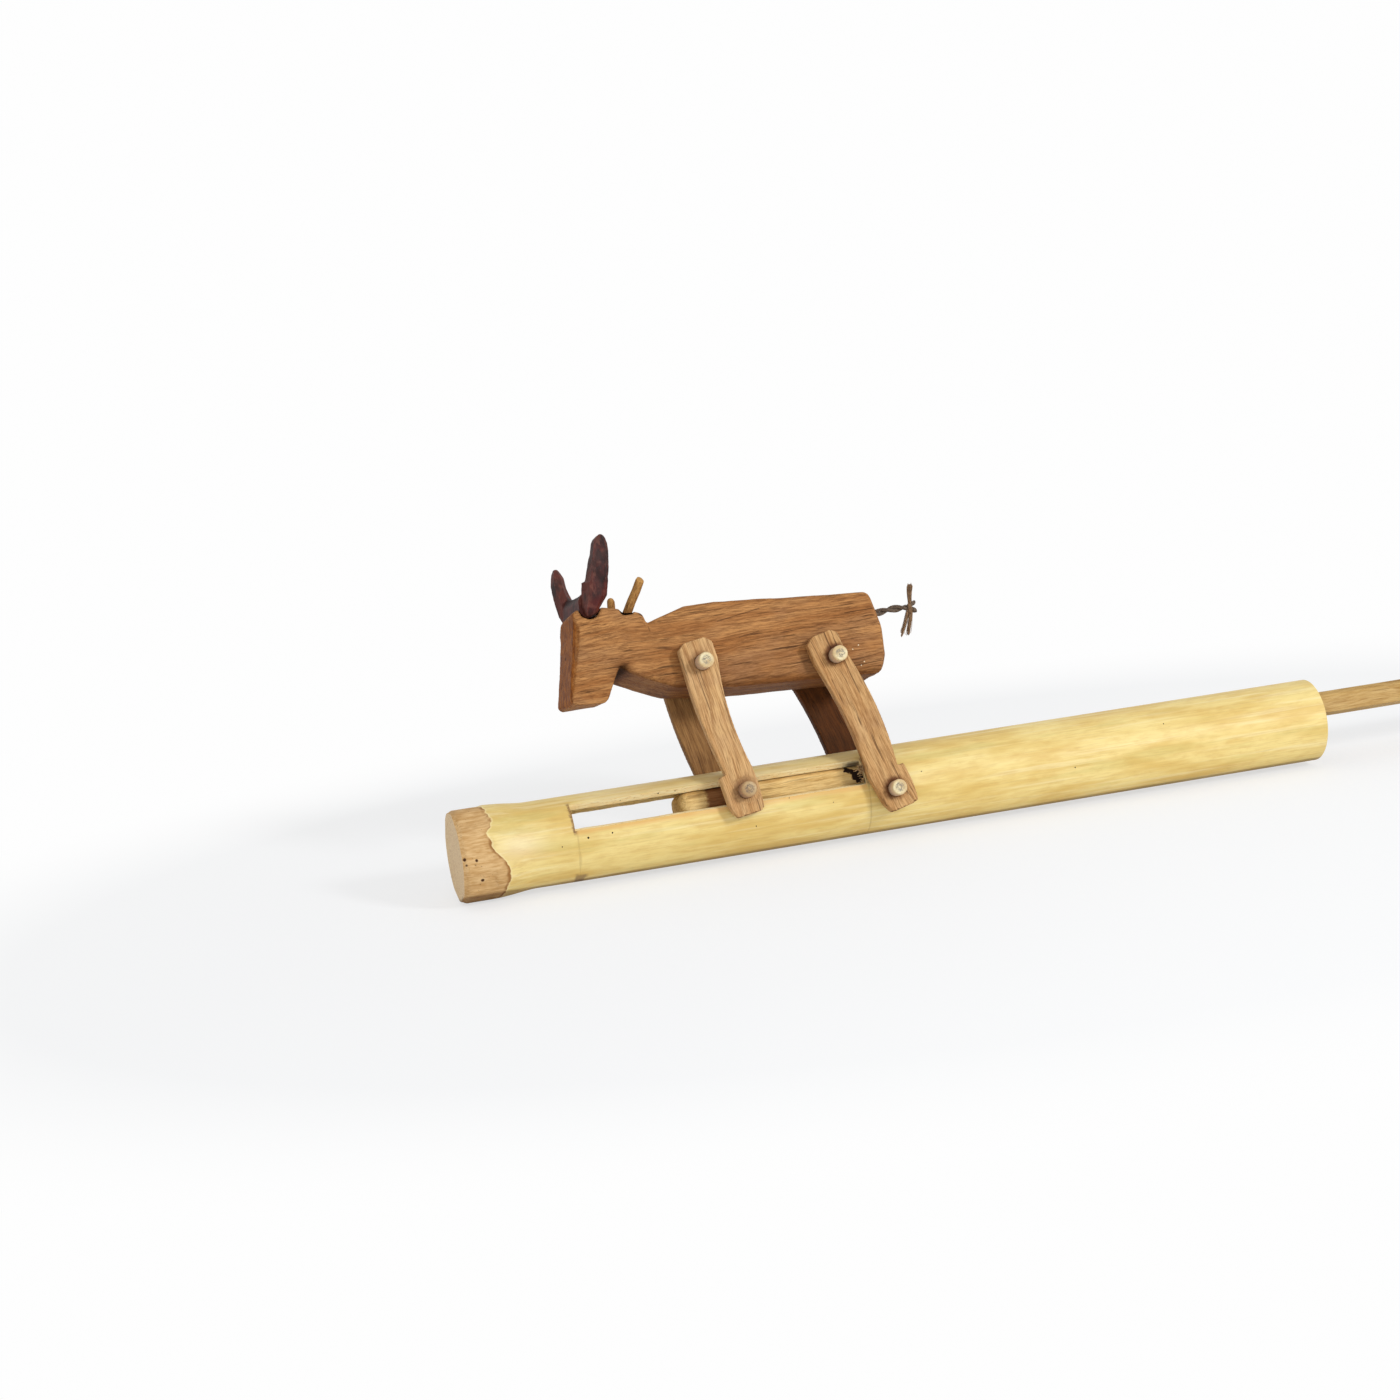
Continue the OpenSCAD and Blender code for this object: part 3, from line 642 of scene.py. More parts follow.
def round_belly(p, q):
    """Rounds the belly's long edges between the throat and the rump."""
    place = np.arange(-100, 28, 4.0)
    bottom = np.array([q[np.abs(q[:, 0] - x) < 3, 2].min() for x in place])
    out = np.stack([np.abs(q[:, 1]) - (body_half - belly_round),
                    np.interp(q[:, 0], place, bottom) + belly_round - q[:, 2]], 1)
    far_out = np.hypot(*np.clip(out, 0, None).T)
    round_it = (out.min(1) > 0) & (far_out > belly_round) & (q[:, 0] > -99)
    pull = np.where(round_it, belly_round / np.maximum(far_out, 1e-6) - 1, 0)
    p[:, 1] += pull * out[:, 0] * np.sign(q[:, 1])
    p[:, 2] -= pull * out[:, 1]


def rub_head(p, q):
    """The far top corner of the head is rubbed round."""
    away = np.array([-0.5, 0.6, 0.62])
    beyond = np.clip((q - (-115.3, 15.5, 38.9)) @ away + 1.5, 0, None) * (q[:, 0] < -104) * (q[:, 1] > 0)
    p -= beyond[:, None] * away


print("the knife's rules are ready")

# %% [markdown]
# The copy is carved with those rules and then painted: end grain on the face, where wood looks darker
# and redder, painted shade in the throat, round the ears, under the breast, on the undersides and low
# sides, and in the ear's scoop, and worn, pale edges.

# %% Carve and paint the body
def carve_body():
    o = even_copy("animal_body", "carved_body", 0.72, 1)
    p, n = points_and_normals(o)
    q = p - rear_top
    bevel = bevel_face(p, q)
    flats = 0.25 * lumps(q, (17, 11, 9), 3.1) + 0.1 * lumps(q, (6, 4, 5), 8.4)
    edge = ramp(np.abs(n).max(1), 0.97, 0.8)
    chip = edge * (0.22 * lumps(q, (9, 2.5, 2.5), 12.7) - 0.08)
    p += n * (np.minimum(flats, 0.1) + chip)[:, None]
    scoop = scoop_ear(p, q)
    round_belly(p, q)
    rub_head(p, q)
    set_points(o, p)

    face = ramp(-n[:, 0], 0.5, 0.85) * ramp(-q[:, 0], 104, 112)
    under = ramp(-n[:, 2], 0.3, 0.75) * ramp(-q[:, 0], 104, 100)
    breast = ramp(q[:, 2], 9, -4) * ramp(np.abs(q[:, 0] + 78), 30, 10)
    breast *= ramp(lumps(q, (9, 5, 4), 2.0), -0.9, 0.5)
    ears = [(-90.1, -9.5, 36), (-94, 9.5, 37)]
    holes = sum(ramp(np.linalg.norm(q - e, axis=1), 6.0, 3.4) for e in ears) * ramp(n[:, 2], 0.8, 0.2)
    throat = ramp(side_distance(q, (-100, 0, 9)), 8, 1.5)
    low_side = ramp(q[:, 2], 2, -9) * ramp(q[:, 0], -104, -98)
    paint(o, "end_grain", np.maximum(face * (0.9 + 0.1 * lumps(q, 4, 4.0)), 0.5 * bevel))
    # painted shade: the ear's scoop and the throat's notch near black, and the throat, ear holes, undersides,
    # breast and low sides darker
    paint(o, "painted_hole_shade", scoop + ramp(side_distance(q, (-99.5, 0, 9.3)), 3.2, 0.6) * 0.7)
    paint(o, "dirt_and_shade", 0.12 * under + 0.34 * breast + 0.9 * holes + 0.6 * throat + 0.35 * low_side)
    paint(o, "worn", edge * ramp(lumps(q, 5, 1.0), -0.1, 0.5) * ramp(n[:, 2], -0.3, 0.4) * 0.6)
    o.data.shade_smooth()
    dress(o, body_wood)
    stand_in(o, "animal", "body_wood", "animal_body")


carve_body()

# %% [markdown]
# ## One way to skin a row of rings
#
# The horns, the tube, the rod, the pins, the ears and the string are all long things, so each is made
# as a row of rings with equal counts of points. One function joins the rings with four-sided faces and
# closes the ends, with a fan to a hub or with one flat face. A last step turns all faces outwards.

# %% Rings and skins
def skin(rings, hubs=()):
    """Points and faces of a closed skin over rings; an end is a fan to its hub, or flat without one."""
    count = len(rings[0])
    last = (len(rings) - 1) * count
    k = np.arange(count)
    nxt = (k + 1) % count
    faces = []
    for a in range(0, last, count):
        faces += np.stack([a + k, a + nxt, a + count + nxt, a + count + k], 1).tolist()
    if len(hubs):
        hub = np.full(count, last + count)
        faces += np.stack([hub, nxt, k], 1).tolist() + np.stack([hub + 1, last + k, last + nxt], 1).tolist()
    else:
        faces += [k[::-1].tolist(), (last + k).tolist()]
    return np.vstack([*rings, *[np.reshape(h, (1, 3)) for h in hubs]]), faces


def outwards(o):
    """Turns all faces outwards."""
    b = bmesh.new()
    b.from_mesh(o.data)
    bmesh.ops.recalc_face_normals(b, faces=b.faces)
    b.to_mesh(o.data)
    b.free()
    return o


def shape(name, points, faces):
    mesh = bpy.data.meshes.new(name)
    mesh.from_pydata(lying(points).tolist(), [], faces)
    return outwards(new_object(name, mesh))


def joined(parts):
    """Several objects as one."""
    bpy.ops.object.select_all(action="DESELECT")
    for part in parts:
        part.select_set(True)
    bpy.context.view_layer.objects.active = parts[0]
    bpy.ops.object.join()
    return parts[0]


print("ready to skin rings")

# %% [markdown]
# ## The horns
#
# Both horns and the bar between them are cut from one dark piece. A knife leaves long flat facets, so
# each horn is built as a stack of six-cornered rings from its root to its tip. The corners keep their
# edges, and on the front of the near horn one cut stops in a small step.
#
# The rings of a horn are read from the side: its front edge, the line between its front facet and its
# broad side, and its back edge, at each height. Those were measured as they look from the camera, which
# sees a little of the front, so a point that lies deeper in the horn is shifted by the same small slope.

# %% The horns' rings
near_rings = np.array([  # height, front edge, facet line, back edge, middle depth, thickness
    (35.0, -112.6, -112.2, -109.6, -18.0, 5.0), (35.7, -113.4, -112.6, -108.2, -18.2, 6.6),
    (37.0, -113.9, -112.4, -106.8, -18.6, 7.4), (39.2, -114.3, -111.8, -105.2, -19.0, 7.8),
    (43.6, -113.8, -110.6, -101.6, -19.6, 8.0), (47.6, -113.3, -109.4, -100.6, -20.0, 7.8),
    (50.9, -112.7, -108.5, -99.8, -20.4, 7.4), (51.5, -110.9, -108.2, -99.7, -20.5, 7.2),
    (57.0, -109.0, -106.6, -98.3, -21.2, 6.8), (60.8, -107.6, -105.6, -98.0, -21.6, 6.4),
    (64.2, -106.2, -104.6, -97.4, -21.9, 6.0), (68.1, -105.2, -103.8, -97.4, -22.2, 5.2),
    (70.0, -104.1, -103.2, -97.8, -22.3, 4.6), (71.6, -102.0, -101.6, -98.5, -22.4, 3.4),
    (72.4, -100.6, -100.5, -99.3, -22.4, 1.4)])
far_rings = np.array([
    (37.2, -114.6, -112.6, -108.8, 15.0, 6.6), (40.4, -116.4, -113.4, -107.4, 15.4, 7.2),
    (42.4, -117.2, -113.8, -107.6, 16.0, 7.4), (49.7, -118.3, -115.2, -109.4, 17.4, 7.0),
    (53.9, -118.7, -116.2, -110.9, 18.6, 6.4), (57.6, -118.8, -116.8, -111.6, 19.4, 5.8),
    (60.9, -118.1, -116.6, -111.9, 20.0, 5.0), (63.4, -117.4, -116.2, -113.0, 20.4, 4.0),
    (64.9, -116.6, -115.9, -114.0, 20.6, 2.6), (65.4, -115.8, -115.5, -114.7, 20.7, 1.0)])
slope_x, slope_z = 0.21, 0.163  # how far the camera shifts a point for each millimetre of its depth


def ring_points(corners, per_edge, soften):
    """Points along a closed polygon's edges, with its corners softened a little."""
    corners = np.asarray(corners, float)
    t = np.arange(per_edge)[:, None] / per_edge
    ring = np.vstack([a + (b - a) * t for a, b in zip(corners, np.roll(corners, -1, 0))])
    for _ in range(soften):
        ring = 0.5 * ring + 0.25 * (np.roll(ring, 1, 0) + np.roll(ring, -1, 0))
    return ring


def cut_facets(name, rings, seed):
    """A skin over the rings, with the shallow, long hollows of a knife on a dark hard wood."""
    rings = [r + rear_top for r in rings]
    o = shape(name, *skin(rings, (rings[0].mean(0), rings[-1].mean(0))))
    p, n = points_and_normals(o)
    dent = 0.24 * lumps(p, (3.5, 3.5, 11), seed) + 0.16 * lumps(p, (2.6, 2.6, 1.9), seed + 2) - 0.05
    set_points(o, p + n * np.minimum(dent, 0.06)[:, None])
    return o


def horn_stack(name, table, plane):
    rings = []
    for h in np.unique(np.concatenate([np.arange(table[0, 0], table[-1, 0], 0.6), table[:, 0]])):
        front, facet, rear, mid, thick = (np.interp(h, table[:, 0], table[:, c]) for c in range(1, 6))
        near_y, far_y = mid - thick / 2, mid + thick / 2
        wide = rear - front
        ring = ring_points([(front, mid + thick * 0.22), (facet, near_y),
                            (rear - 0.22 * wide, near_y + 0.05 * thick), (rear, mid - 0.05 * thick),
                            (rear - 0.2 * wide, far_y), (front + 0.3 * wide, far_y)], 7, 0)
        depth = ring[:, 1] - plane
        rings.append(np.stack([ring[:, 0] + slope_x * depth, ring[:, 1], h + slope_z * depth], 1))
    return cut_facets(name, rings, 4.0)


print("horn rings:", len(near_rings), "near,", len(far_rings), "far")

# %% [markdown]
# The bar is a row of rings too, from the near side to the far side, round below and flat on top.
# Then the three stacks run into each other as one object, and the horns get their worn tips, a painted
# sheen on the near horn's front facet, a worn ridge with a painted highlight, their sooty clouds and
# the redder root of the near horn.

# %% Carve and paint the horns
def horn_bar():
    rings = []
    for y in np.linspace(-17.0, 15.5, 13):
        lift = np.interp(y, [-17, -8, 6, 15.5], [0.4, 0.0, 1.0, 3.0])
        slim = np.interp(y, [-17, 0, 15.5], [4.6, 4.6, 4.1])
        cx = -111.5 - 0.07 * y + np.interp(y, [-17, 15.5], [0.0, 0.3])
        below = np.radians(range(180, 360, 25))
        low_half = [(cx + slim * math.cos(a), 39.6 + slim * math.sin(a)) for a in below]
        top = [(cx + slim - 0.2, 43.8 + lift * 0.6), (cx + slim - 2.2, 46.6 + lift),
               (cx - slim + 3.0, 46.9 + lift), (cx - slim + 0.3, 43.6 + lift * 0.8)]
        ring = ring_points(low_half + top, 4, 1)
        rings.append(np.stack([ring[:, 0], np.full(len(ring), y), ring[:, 1]], 1))
    return cut_facets("bar", rings, 6.0)


def carve_horns():
    o = joined([horn_bar(), horn_stack("near", near_rings, -21.0), horn_stack("far", far_rings, 19.0)])
    o.name = o.data.name = "carved_horns"
    p, n = points_and_normals(o)
    q = p - rear_top
    near, far = ramp(-q[:, 1], 13, 16), ramp(q[:, 1], 12, 15)
    tips = ramp(q[:, 2], 70.4, 72.4) * near + 0.4 * ramp(q[:, 2], 63.5, 65) * far
    rubbed = ramp(lumps(q, (2, 2, 4), 6.0), 0.18, 0.5) * 0.7
    # painted sheen: the near horn's front facet paler; along the ridge the pale line is wear and a painted
    # highlight
    front = ramp(-n[:, 0], 0.45, 0.8) * near * 0.45
    ridge = np.abs(q[:, 0] - np.interp(q[:, 2], near_rings[:, 0], near_rings[:, 2]))
    ridge = ramp(ridge, 0.7, 0.2) * near * (n[:, 1] < 0) * ramp(lumps(q, (2, 2, 3), 9.0), -0.2, 0.3)
    paint(o, "worn", np.maximum.reduce([tips, rubbed, front, ridge * 0.9]) + 0.4 * far)
    clouds = ramp(lumps(q, (4, 4, 7), 7.7), 0.1, 0.5) * 0.8
    dark_band = ramp(np.abs(q[:, 2] - 60), 7, 3) * near * 0.7 * ramp(lumps(q, 3, 2.2), -0.4, 0.3)
    bar_top = ramp(n[:, 2], 0.2, 0.7) * (1 - near) * (1 - far)
    paint(o, "soot", np.maximum(clouds, dark_band) + bar_top)
    paint(o, "blood", ramp(side_distance(q, (-107, -21, 40)), 5, 1.5) * near)
    smooth_edges(o, 24)
    dress(o, horn_wood)
    stand_in(o, "animal", "horn_wood", "horns")


carve_horns()

# %% [markdown]
# ## The four legs
#
# The legs were sawn from thin board, bowed by eye and rounded along the edges by handling. One
# function carves all four. Around each pin the wood is bruised and stained dark, and the near front
# foot has a pale, chipped dip where its pin was driven in.

# %% Carve the legs
def stains(p, pins, outer, seed):
    """Ragged rings round the pins, strongest up and to the left, where oil ran into the grain."""
    found = []
    for pin_at, off, weight in pins:
        spokes = np.arctan2(p[:, 2] - pin_at[2], p[:, 0] - pin_at[0])
        reach = 7.3 + 0.5 * np.cos(spokes * 17) + 1.3 * lumps(p, 1.5, seed + 9)
        ring = ramp(off, reach, 4.4) * ramp(np.cos(spokes - 2.5), -0.9, 0.5)
        found.append(ring * weight * outer)
    return np.maximum(*found)


def carve_leg(node, material, low_pin, high_pin, body, slot, seed, stain, chip=0.0):
    o = even_copy(node, node + "_side", 0.5, 3)
    p, n = points_and_normals(o)
    along = (high_pin - low_pin) / np.linalg.norm(high_pin - low_pin)
    height = (p - low_pin) @ along
    thin = 0.12 * lumps(p, (10, 4, 14), seed) * (np.abs(n[:, 1]) > 0.8)
    edge = ramp(np.abs(n).max(1), 0.96, 0.8)
    p += n * (np.minimum(thin, 0.05) + edge * 0.18 * (lumps(p, (3, 3, 8), seed + 2) - 0.6))[:, None]
    low_ring, high_ring = side_distance(p, low_pin), side_distance(p, high_pin)
    side = 1 if p[:, 1].mean() > 0 else -1
    outer = ramp(n[:, 1] * side, 0.3, 0.8)
    hollow = ramp(low_ring, 7.2, 5.6) * outer * ramp(lumps(p, 4, seed + 5), -0.5, 0.1) * (chip > 0)
    p[:, 1] -= side * chip * hollow
    # the sawn foot is chipped between its fibres
    chips = ramp(lumps(p * (1, 0.3, 0.12), (1.3, 2, 4), seed + 6), 0.1, 0.5) * 0.6
    p += (np.clip(-height - 5, 0, 1.5) * chips)[:, None] * along
    set_points(o, p)
    bruise = (ramp(low_ring, 6.5, 3.9) + ramp(high_ring, 6.3, 3.9)) * outer
    paint(o, "dirt_and_shade", bruise * (0.55 + 0.45 * lumps(p, 2.2, seed + 3)) * (0.3 if chip else 0.85))
    both_pins = ((high_pin, high_ring, stain[0]), (low_pin, low_ring, stain[1]))
    paint(o, "stain", stains(p, both_pins, outer, seed) * (1.0 if side < 0 else 0.4))
    paint(o, "end_grain", 0.75 * ramp(np.abs(n @ along), 0.55, 0.9))
    paint(o, "worn", np.maximum(edge * 0.8 * ramp(lumps(p, 6, seed + 4), -0.3, 0.4), hollow * 0.7))
    o.data.shade_smooth()
    dress(o, material)
    stand_in(o, body, slot, node)


front = (front_bottom, front_top, "front_legs")
rear = (rear_bottom, rear_top, "rear_legs")
carve_leg("front_leg_near", front_wood, *front, "leg_wood", 1.0, (0.35, 0.55), chip=0.7)
carve_leg("front_leg_far", far_front_wood, *front, "leg_wood", 4.0, (0.35, 0.55))
carve_leg("rear_leg_near", rear_wood, *rear, "leg_wood", 7.0, (0.85, 0.8))
carve_leg("rear_leg_far", far_rear_wood, *rear, "dark_leg_wood", 10.0, (0.85, 0.8))

# %% [markdown]
# ## The bamboo tube
#
# A tube is a lathe shape: rows of points round an axis, at many stations along it. Making the rows
# here, and not with a ready cylinder, lets each station have its own radius, so that the node swells,
# the knife leaves flats on it and the skin is a little out of round. The slot, the pin's hole and the
# beetle holes are cut out of it afterwards.

# %% Tube walls
node_side, hand_side, tube_r, bore_r = 205.0, 225.0, 20.0, 16.0
around = 144
angle = np.linspace(0, 2 * math.pi, around, endpoint=False)
left_score, right_score = -151.0, -10.9  # the rings scored round the tube before the slot was cut


def outer_radius(x, a):
    """Radius of the skin at station x and angle a, never more than the measured one."""
    d = x + node_side
    swell = 1.8 * (1 - ramp(d, 16, 36)) * np.minimum(1, 0.45 + 0.55 * ramp(d, 0, 2.5))
    ridge = np.exp(-((d - 19) / 5) ** 2)
    wobble = 0.12 * np.sin(3 * a + 1.1) * ramp(d, 60, 20) - 0.12 * ramp(d, 60, 20)
    flats = 0.0
    for turn_deg in (8, 47, 88, 131, 170, 214, 318):
        off = (a - math.radians(turn_deg) + math.pi) % (2 * math.pi) - math.pi
        cut_back = 21.1 / np.cos(np.clip(off, -0.5, 0.5)) - 21.8
        flats = np.minimum(flats, np.where(np.abs(off) < 0.5, cut_back, 0))
    bumps = wobble - 0.25 * ridge * (1 + np.sin(5 * a)) * 0.5
    return tube_r + swell + bumps + flats * ramp(d, 15.5, 14)


def tube_walls():
    """One row of rings: the closed end's face, the skin, the sawn hand end, and back along the bore."""
    scores = [s + d for s in (left_score, right_score) for d in (-0.3, 0, 0.3)]
    spans = ((-205, -165, 0.8), (-165, -148, 0.6), (-148, -24, 1.6), (-24, 0, 0.6), (0, 225, 4))
    xs = np.unique(np.concatenate([np.arange(*s) for s in spans] + [scores, [hand_side]]).round(3))
    first = outer_radius(xs[0], angle)
    face = [(-node_side + dish, first * share) for share, dish in
            ((0.12, 0.45), (0.3, 0.4), (0.5, 0.45), (0.7, 0.35), (0.85, 0.5), (0.93, 0.0))]
    scored = [min(abs(x - left_score), abs(x - right_score)) < 0.01 for x in xs]
    walls = [(x, outer_radius(x, angle) - 0.08 * deep) for x, deep in zip(xs, scored)]
    rim = [(hand_side, np.full(around, 18.0))]
    bore = [(x, np.full(around, bore_r)) for x in (hand_side, *range(215, -195, -10), -196)]
    rings = [np.stack([np.full(around, x), -np.sin(angle) * r, np.cos(angle) * r], 1)
             for x, r in face + walls + rim + bore]
    o = shape("bamboo", *skin(rings, ([-204.6, 0, 0], [-196, 0, 0])))
    dress(o, bamboo_skin, slot_wall, end_wall, bore_wall, beetle_dark)
    on_skin, on_end, on_bore = 0, 2, 3  # their places in that list
    finishes = [on_end] * len(face) + [on_skin] * (len(walls) - 1) + [on_end] * 2
    finishes += [on_bore] * (len(bore) - 1) + [on_end, on_bore]
    o.data.polygons.foreach_set("material_index", np.repeat(finishes, around))
    return o


bamboo_tube = tube_walls()
print("tube walls:", len(bamboo_tube.data.polygons), "faces")

# %% [markdown]
# ## Cutting the slot and the holes
#
# A Boolean cuts one closed mesh out of another. The cutter for the slot is a long bar whose faces
# wander a little, as a whittled slot does, with torn ends and bevels that open its lips outwards.

# %% Cutters for the slot and the pin
slot_left, slot_right, slot_low, slot_high = -151.6, -11.4, 2.8, 12.0


def slot_cutter():
    xs = np.concatenate([[slot_left], np.arange(slot_left + 1.5, slot_right - 1, 1.5), [slot_right]])
    half = np.array([11.4, 12.6, 14.0, 15.4, 17.6, 19.6, 20.6, 26])
    across = np.concatenate([-half[::-1], half])
    drop = np.interp(np.abs(across), [17.6, 19.6, 20.6, 26], [0.0, 0.75, 1.35, 1.9])
    rise = np.clip(0.95 * (np.abs(across) - 11.6), 0, 3.4)
    rings = []
    for i, x in enumerate(xs):
        torn = 0.9 if i in (0, len(xs) - 1) else 0.0
        below, above = [], []
        for y, d, r in zip(across, drop, rise):
            ragged = torn * noise.noise(Vector((y * 1.1, i * 0.37, 3.0)))
            v = noise.noise(Vector((x * 0.12, y * 0.02, 1.7)))
            w = noise.noise(Vector((x * 0.2, y * 0.02, 7.3)))
            below.append((x + ragged, y, slot_low - d + 0.22 * v))
            above.append((x - 0.6 * ragged, y, slot_high + r + 0.2 * w))
        rings.append(below + above[::-1])
    points, faces = skin(rings)
    count, steps = len(rings[0]), len(across) - 1
    last = len(points) - count
    # an uneven face is split from its first corner, so the upper ones start one corner further on
    faces = [f[1:] + f[:1] if i % count >= steps else f for i, f in enumerate(faces[:-2])]
    # the torn ends are uneven too, so each is a ladder of small faces and not one large one
    ladder = [[k, count - 1 - k, count - 2 - k, k + 1] for k in range(steps)]
    faces += ladder + [[last + k for k in f[::-1]] for f in ladder]
    return shape("slot_cutter", points, faces)


def pin_cutter():
    a = np.linspace(0, 2 * math.pi, 40, endpoint=False)
    r = 3.78
    ends = [np.stack([rear_bottom[0] + r * np.cos(a), np.full(40, y), rear_bottom[2] + r * np.sin(a)], 1)
            for y in (-24, 24)]
    return shape("pin_cutter", *skin(ends))


def cut(o, cutter, name):
    """Cuts one object out of another and removes the cutter."""
    boolean = o.modifiers.new("cut", "BOOLEAN")
    boolean.operation, boolean.solver, boolean.object = "DIFFERENCE", "EXACT", outwards(cutter)
    boolean.material_mode = "TRANSFER"
    result = evaluated(o, name)
    bpy.data.objects.remove(cutter)
    return result


for cutter in (slot_cutter(), pin_cutter()):
    dress(cutter, slot_wall)
    bamboo_tube = cut(bamboo_tube, cutter, "bamboo")
print("tube with its slot:", len(bamboo_tube.data.polygons), "faces")

# %% [markdown]
# Geometry Nodes make what repeats. A tool here is a small tree with named inputs, such as a radius or
# a length. It gets a mesh that is only points, sets one small shape at each of them, makes the copies
# real and gives them their finish. The first tool drills the round holes that beetles left.

# %% Geometry Nodes tools, and the beetle holes
class Tool(Nodes):
    """A Geometry Nodes tree that repeats a small shape at each point; inputs are (kind, usual value)."""

    def __init__(self, name, **inputs):
        super().__init__(bpy.data.node_groups.new(name, "GeometryNodeTree"))
        sockets = self.tree.interface
        sockets.new_socket("Geometry", in_out="INPUT", socket_type="NodeSocketGeometry")
        for label, (kind, value) in inputs.items():
            title = label.replace("_", " ")
            s = sockets.new_socket(title, in_out="INPUT", socket_type="NodeSocket" + kind)
            s.default_value = value
        sockets.new_socket("Finish", in_out="INPUT", socket_type="NodeSocketMaterial")
        sockets.new_socket("Geometry", in_out="OUTPUT", socket_type="NodeSocketGeometry")
        self.given = self.add("NodeGroupInput").outputs

    def repeat(self, small, turned, size):
        many = self.add("GeometryNodeInstanceOnPoints", {"Points": self.given["Geometry"], "Instance": small,
                                                         "Rotation": turned, "Scale": size})
        real = self.add("GeometryNodeRealizeInstances", {0: many.outputs[0]})
        coloured = self.add("GeometryNodeSetMaterial", {0: real.outputs[0], "Material": self.given["Finish"]})
        self.add("NodeGroupOutput", {0: coloured.outputs[0]})
        return self

    def run(self, name, points, **values):
        """Runs the tree on some points and returns the plain mesh that it makes."""
        mesh = bpy.data.meshes.new(name + "_points")
        mesh.from_pydata(lying(points).tolist(), [], [])
        o = new_object(mesh.name, mesh)
        modifier = o.modifiers.new("tool", "NODES")
        modifier.node_group = self.tree
        for item in self.tree.interface.items_tree:
            label = item.name.replace(" ", "_")
            if item.item_type == "SOCKET" and item.in_out == "INPUT" and label in values:
                modifier[item.identifier] = values[label]
        return evaluated(o, name)


def drill_tool():
    """Repeats a round drill at each point, tilted to face across the tube."""
    t = Tool("beetle_drill", Hole_radius=("Float", 0.00055), Depth=("Float", 0.006), Tilt=("Float", 0.0))
    drill = t.add("GeometryNodeMeshCylinder", {"Vertices": 12, "Radius": t.given["Hole radius"],
                                               "Depth": t.given["Depth"]})
    tilt = t.add("ShaderNodeCombineXYZ", {0: t.given["Tilt"]})
    size = t.add("FunctionNodeRandomValue", {2: 0.75, 3: 1.2, "Seed": 4}, data_type="FLOAT")
    return t.repeat(drill.outputs["Mesh"], tilt.outputs[0], size.outputs[1])


def beetle_cutter():
    """Drills for holes of two radii, in metres, at places along the tube and up its near side."""
    holes = {0.00048: [(-146.3, -2.2), (-134.9, -1.7)],
             0.00027: [(-158.8, -4.4), (-127.2, 12.8), (-109.1, 13.3), (-101.0, 13.2), (-67.1, -9.1),
                       (-49.8, 1.2), (-29.1, -4.0), (15.9, 3.7), (92, -6), (141, 8)]}
    tool, drills = drill_tool(), []
    for radius, places in holes.items():
        points = [(x, -math.sqrt(tube_r ** 2 - z ** 2) + 0.6, z) for x, z in places]
        points += [(x + 23, math.sqrt(tube_r ** 2 - z ** 2) - 0.6, -z - 4) for x, z in places[::3]]
        drills.append(tool.run("beetle_drills", points, Hole_radius=radius, Tilt=math.pi / 2 - roll,
                               Finish=beetle_dark))
    return joined(drills)


bamboo_tube = cut(bamboo_tube, beetle_cutter(), "bamboo")
print("tube after its cuts:", len(bamboo_tube.data.polygons), "faces")

# %% [markdown]
# ## Wear on the bamboo
#
# What the knife and years of hands did is painted on the tube's points: the ragged edge of the scraped
# node, the two scored rings, the pale bevels of the slot's lips and its torn ends. Light and shade are
# painted there too: painted highlights near the node and above the slot, painted shade at the slot's
# right end and along the underside, and the bore darker further in.

# %% Paint the bamboo
def scraped_edge(p, a):
    """How far along the tube the node is scraped, for each angle round it."""
    at = [0, 22, 35, 55, 71, 82, 94, 106, 118, 137, 154, 177, 203, 225, 248, 270, 292, 315, 338, 360]
    edge = [-192, -190.5, -190, -188.6, -192.2, -190.5, -190.2, -185.5, -183.3, -184.6, -186, -188, -188,
            -190, -188, -185, -187, -191, -193, -194]
    return np.interp(a, at, edge) + 1.0 * lumps(p, (60, 3.4, 3.4), 2.2) + 0.6 * lumps(p, 1.6, 3.1)


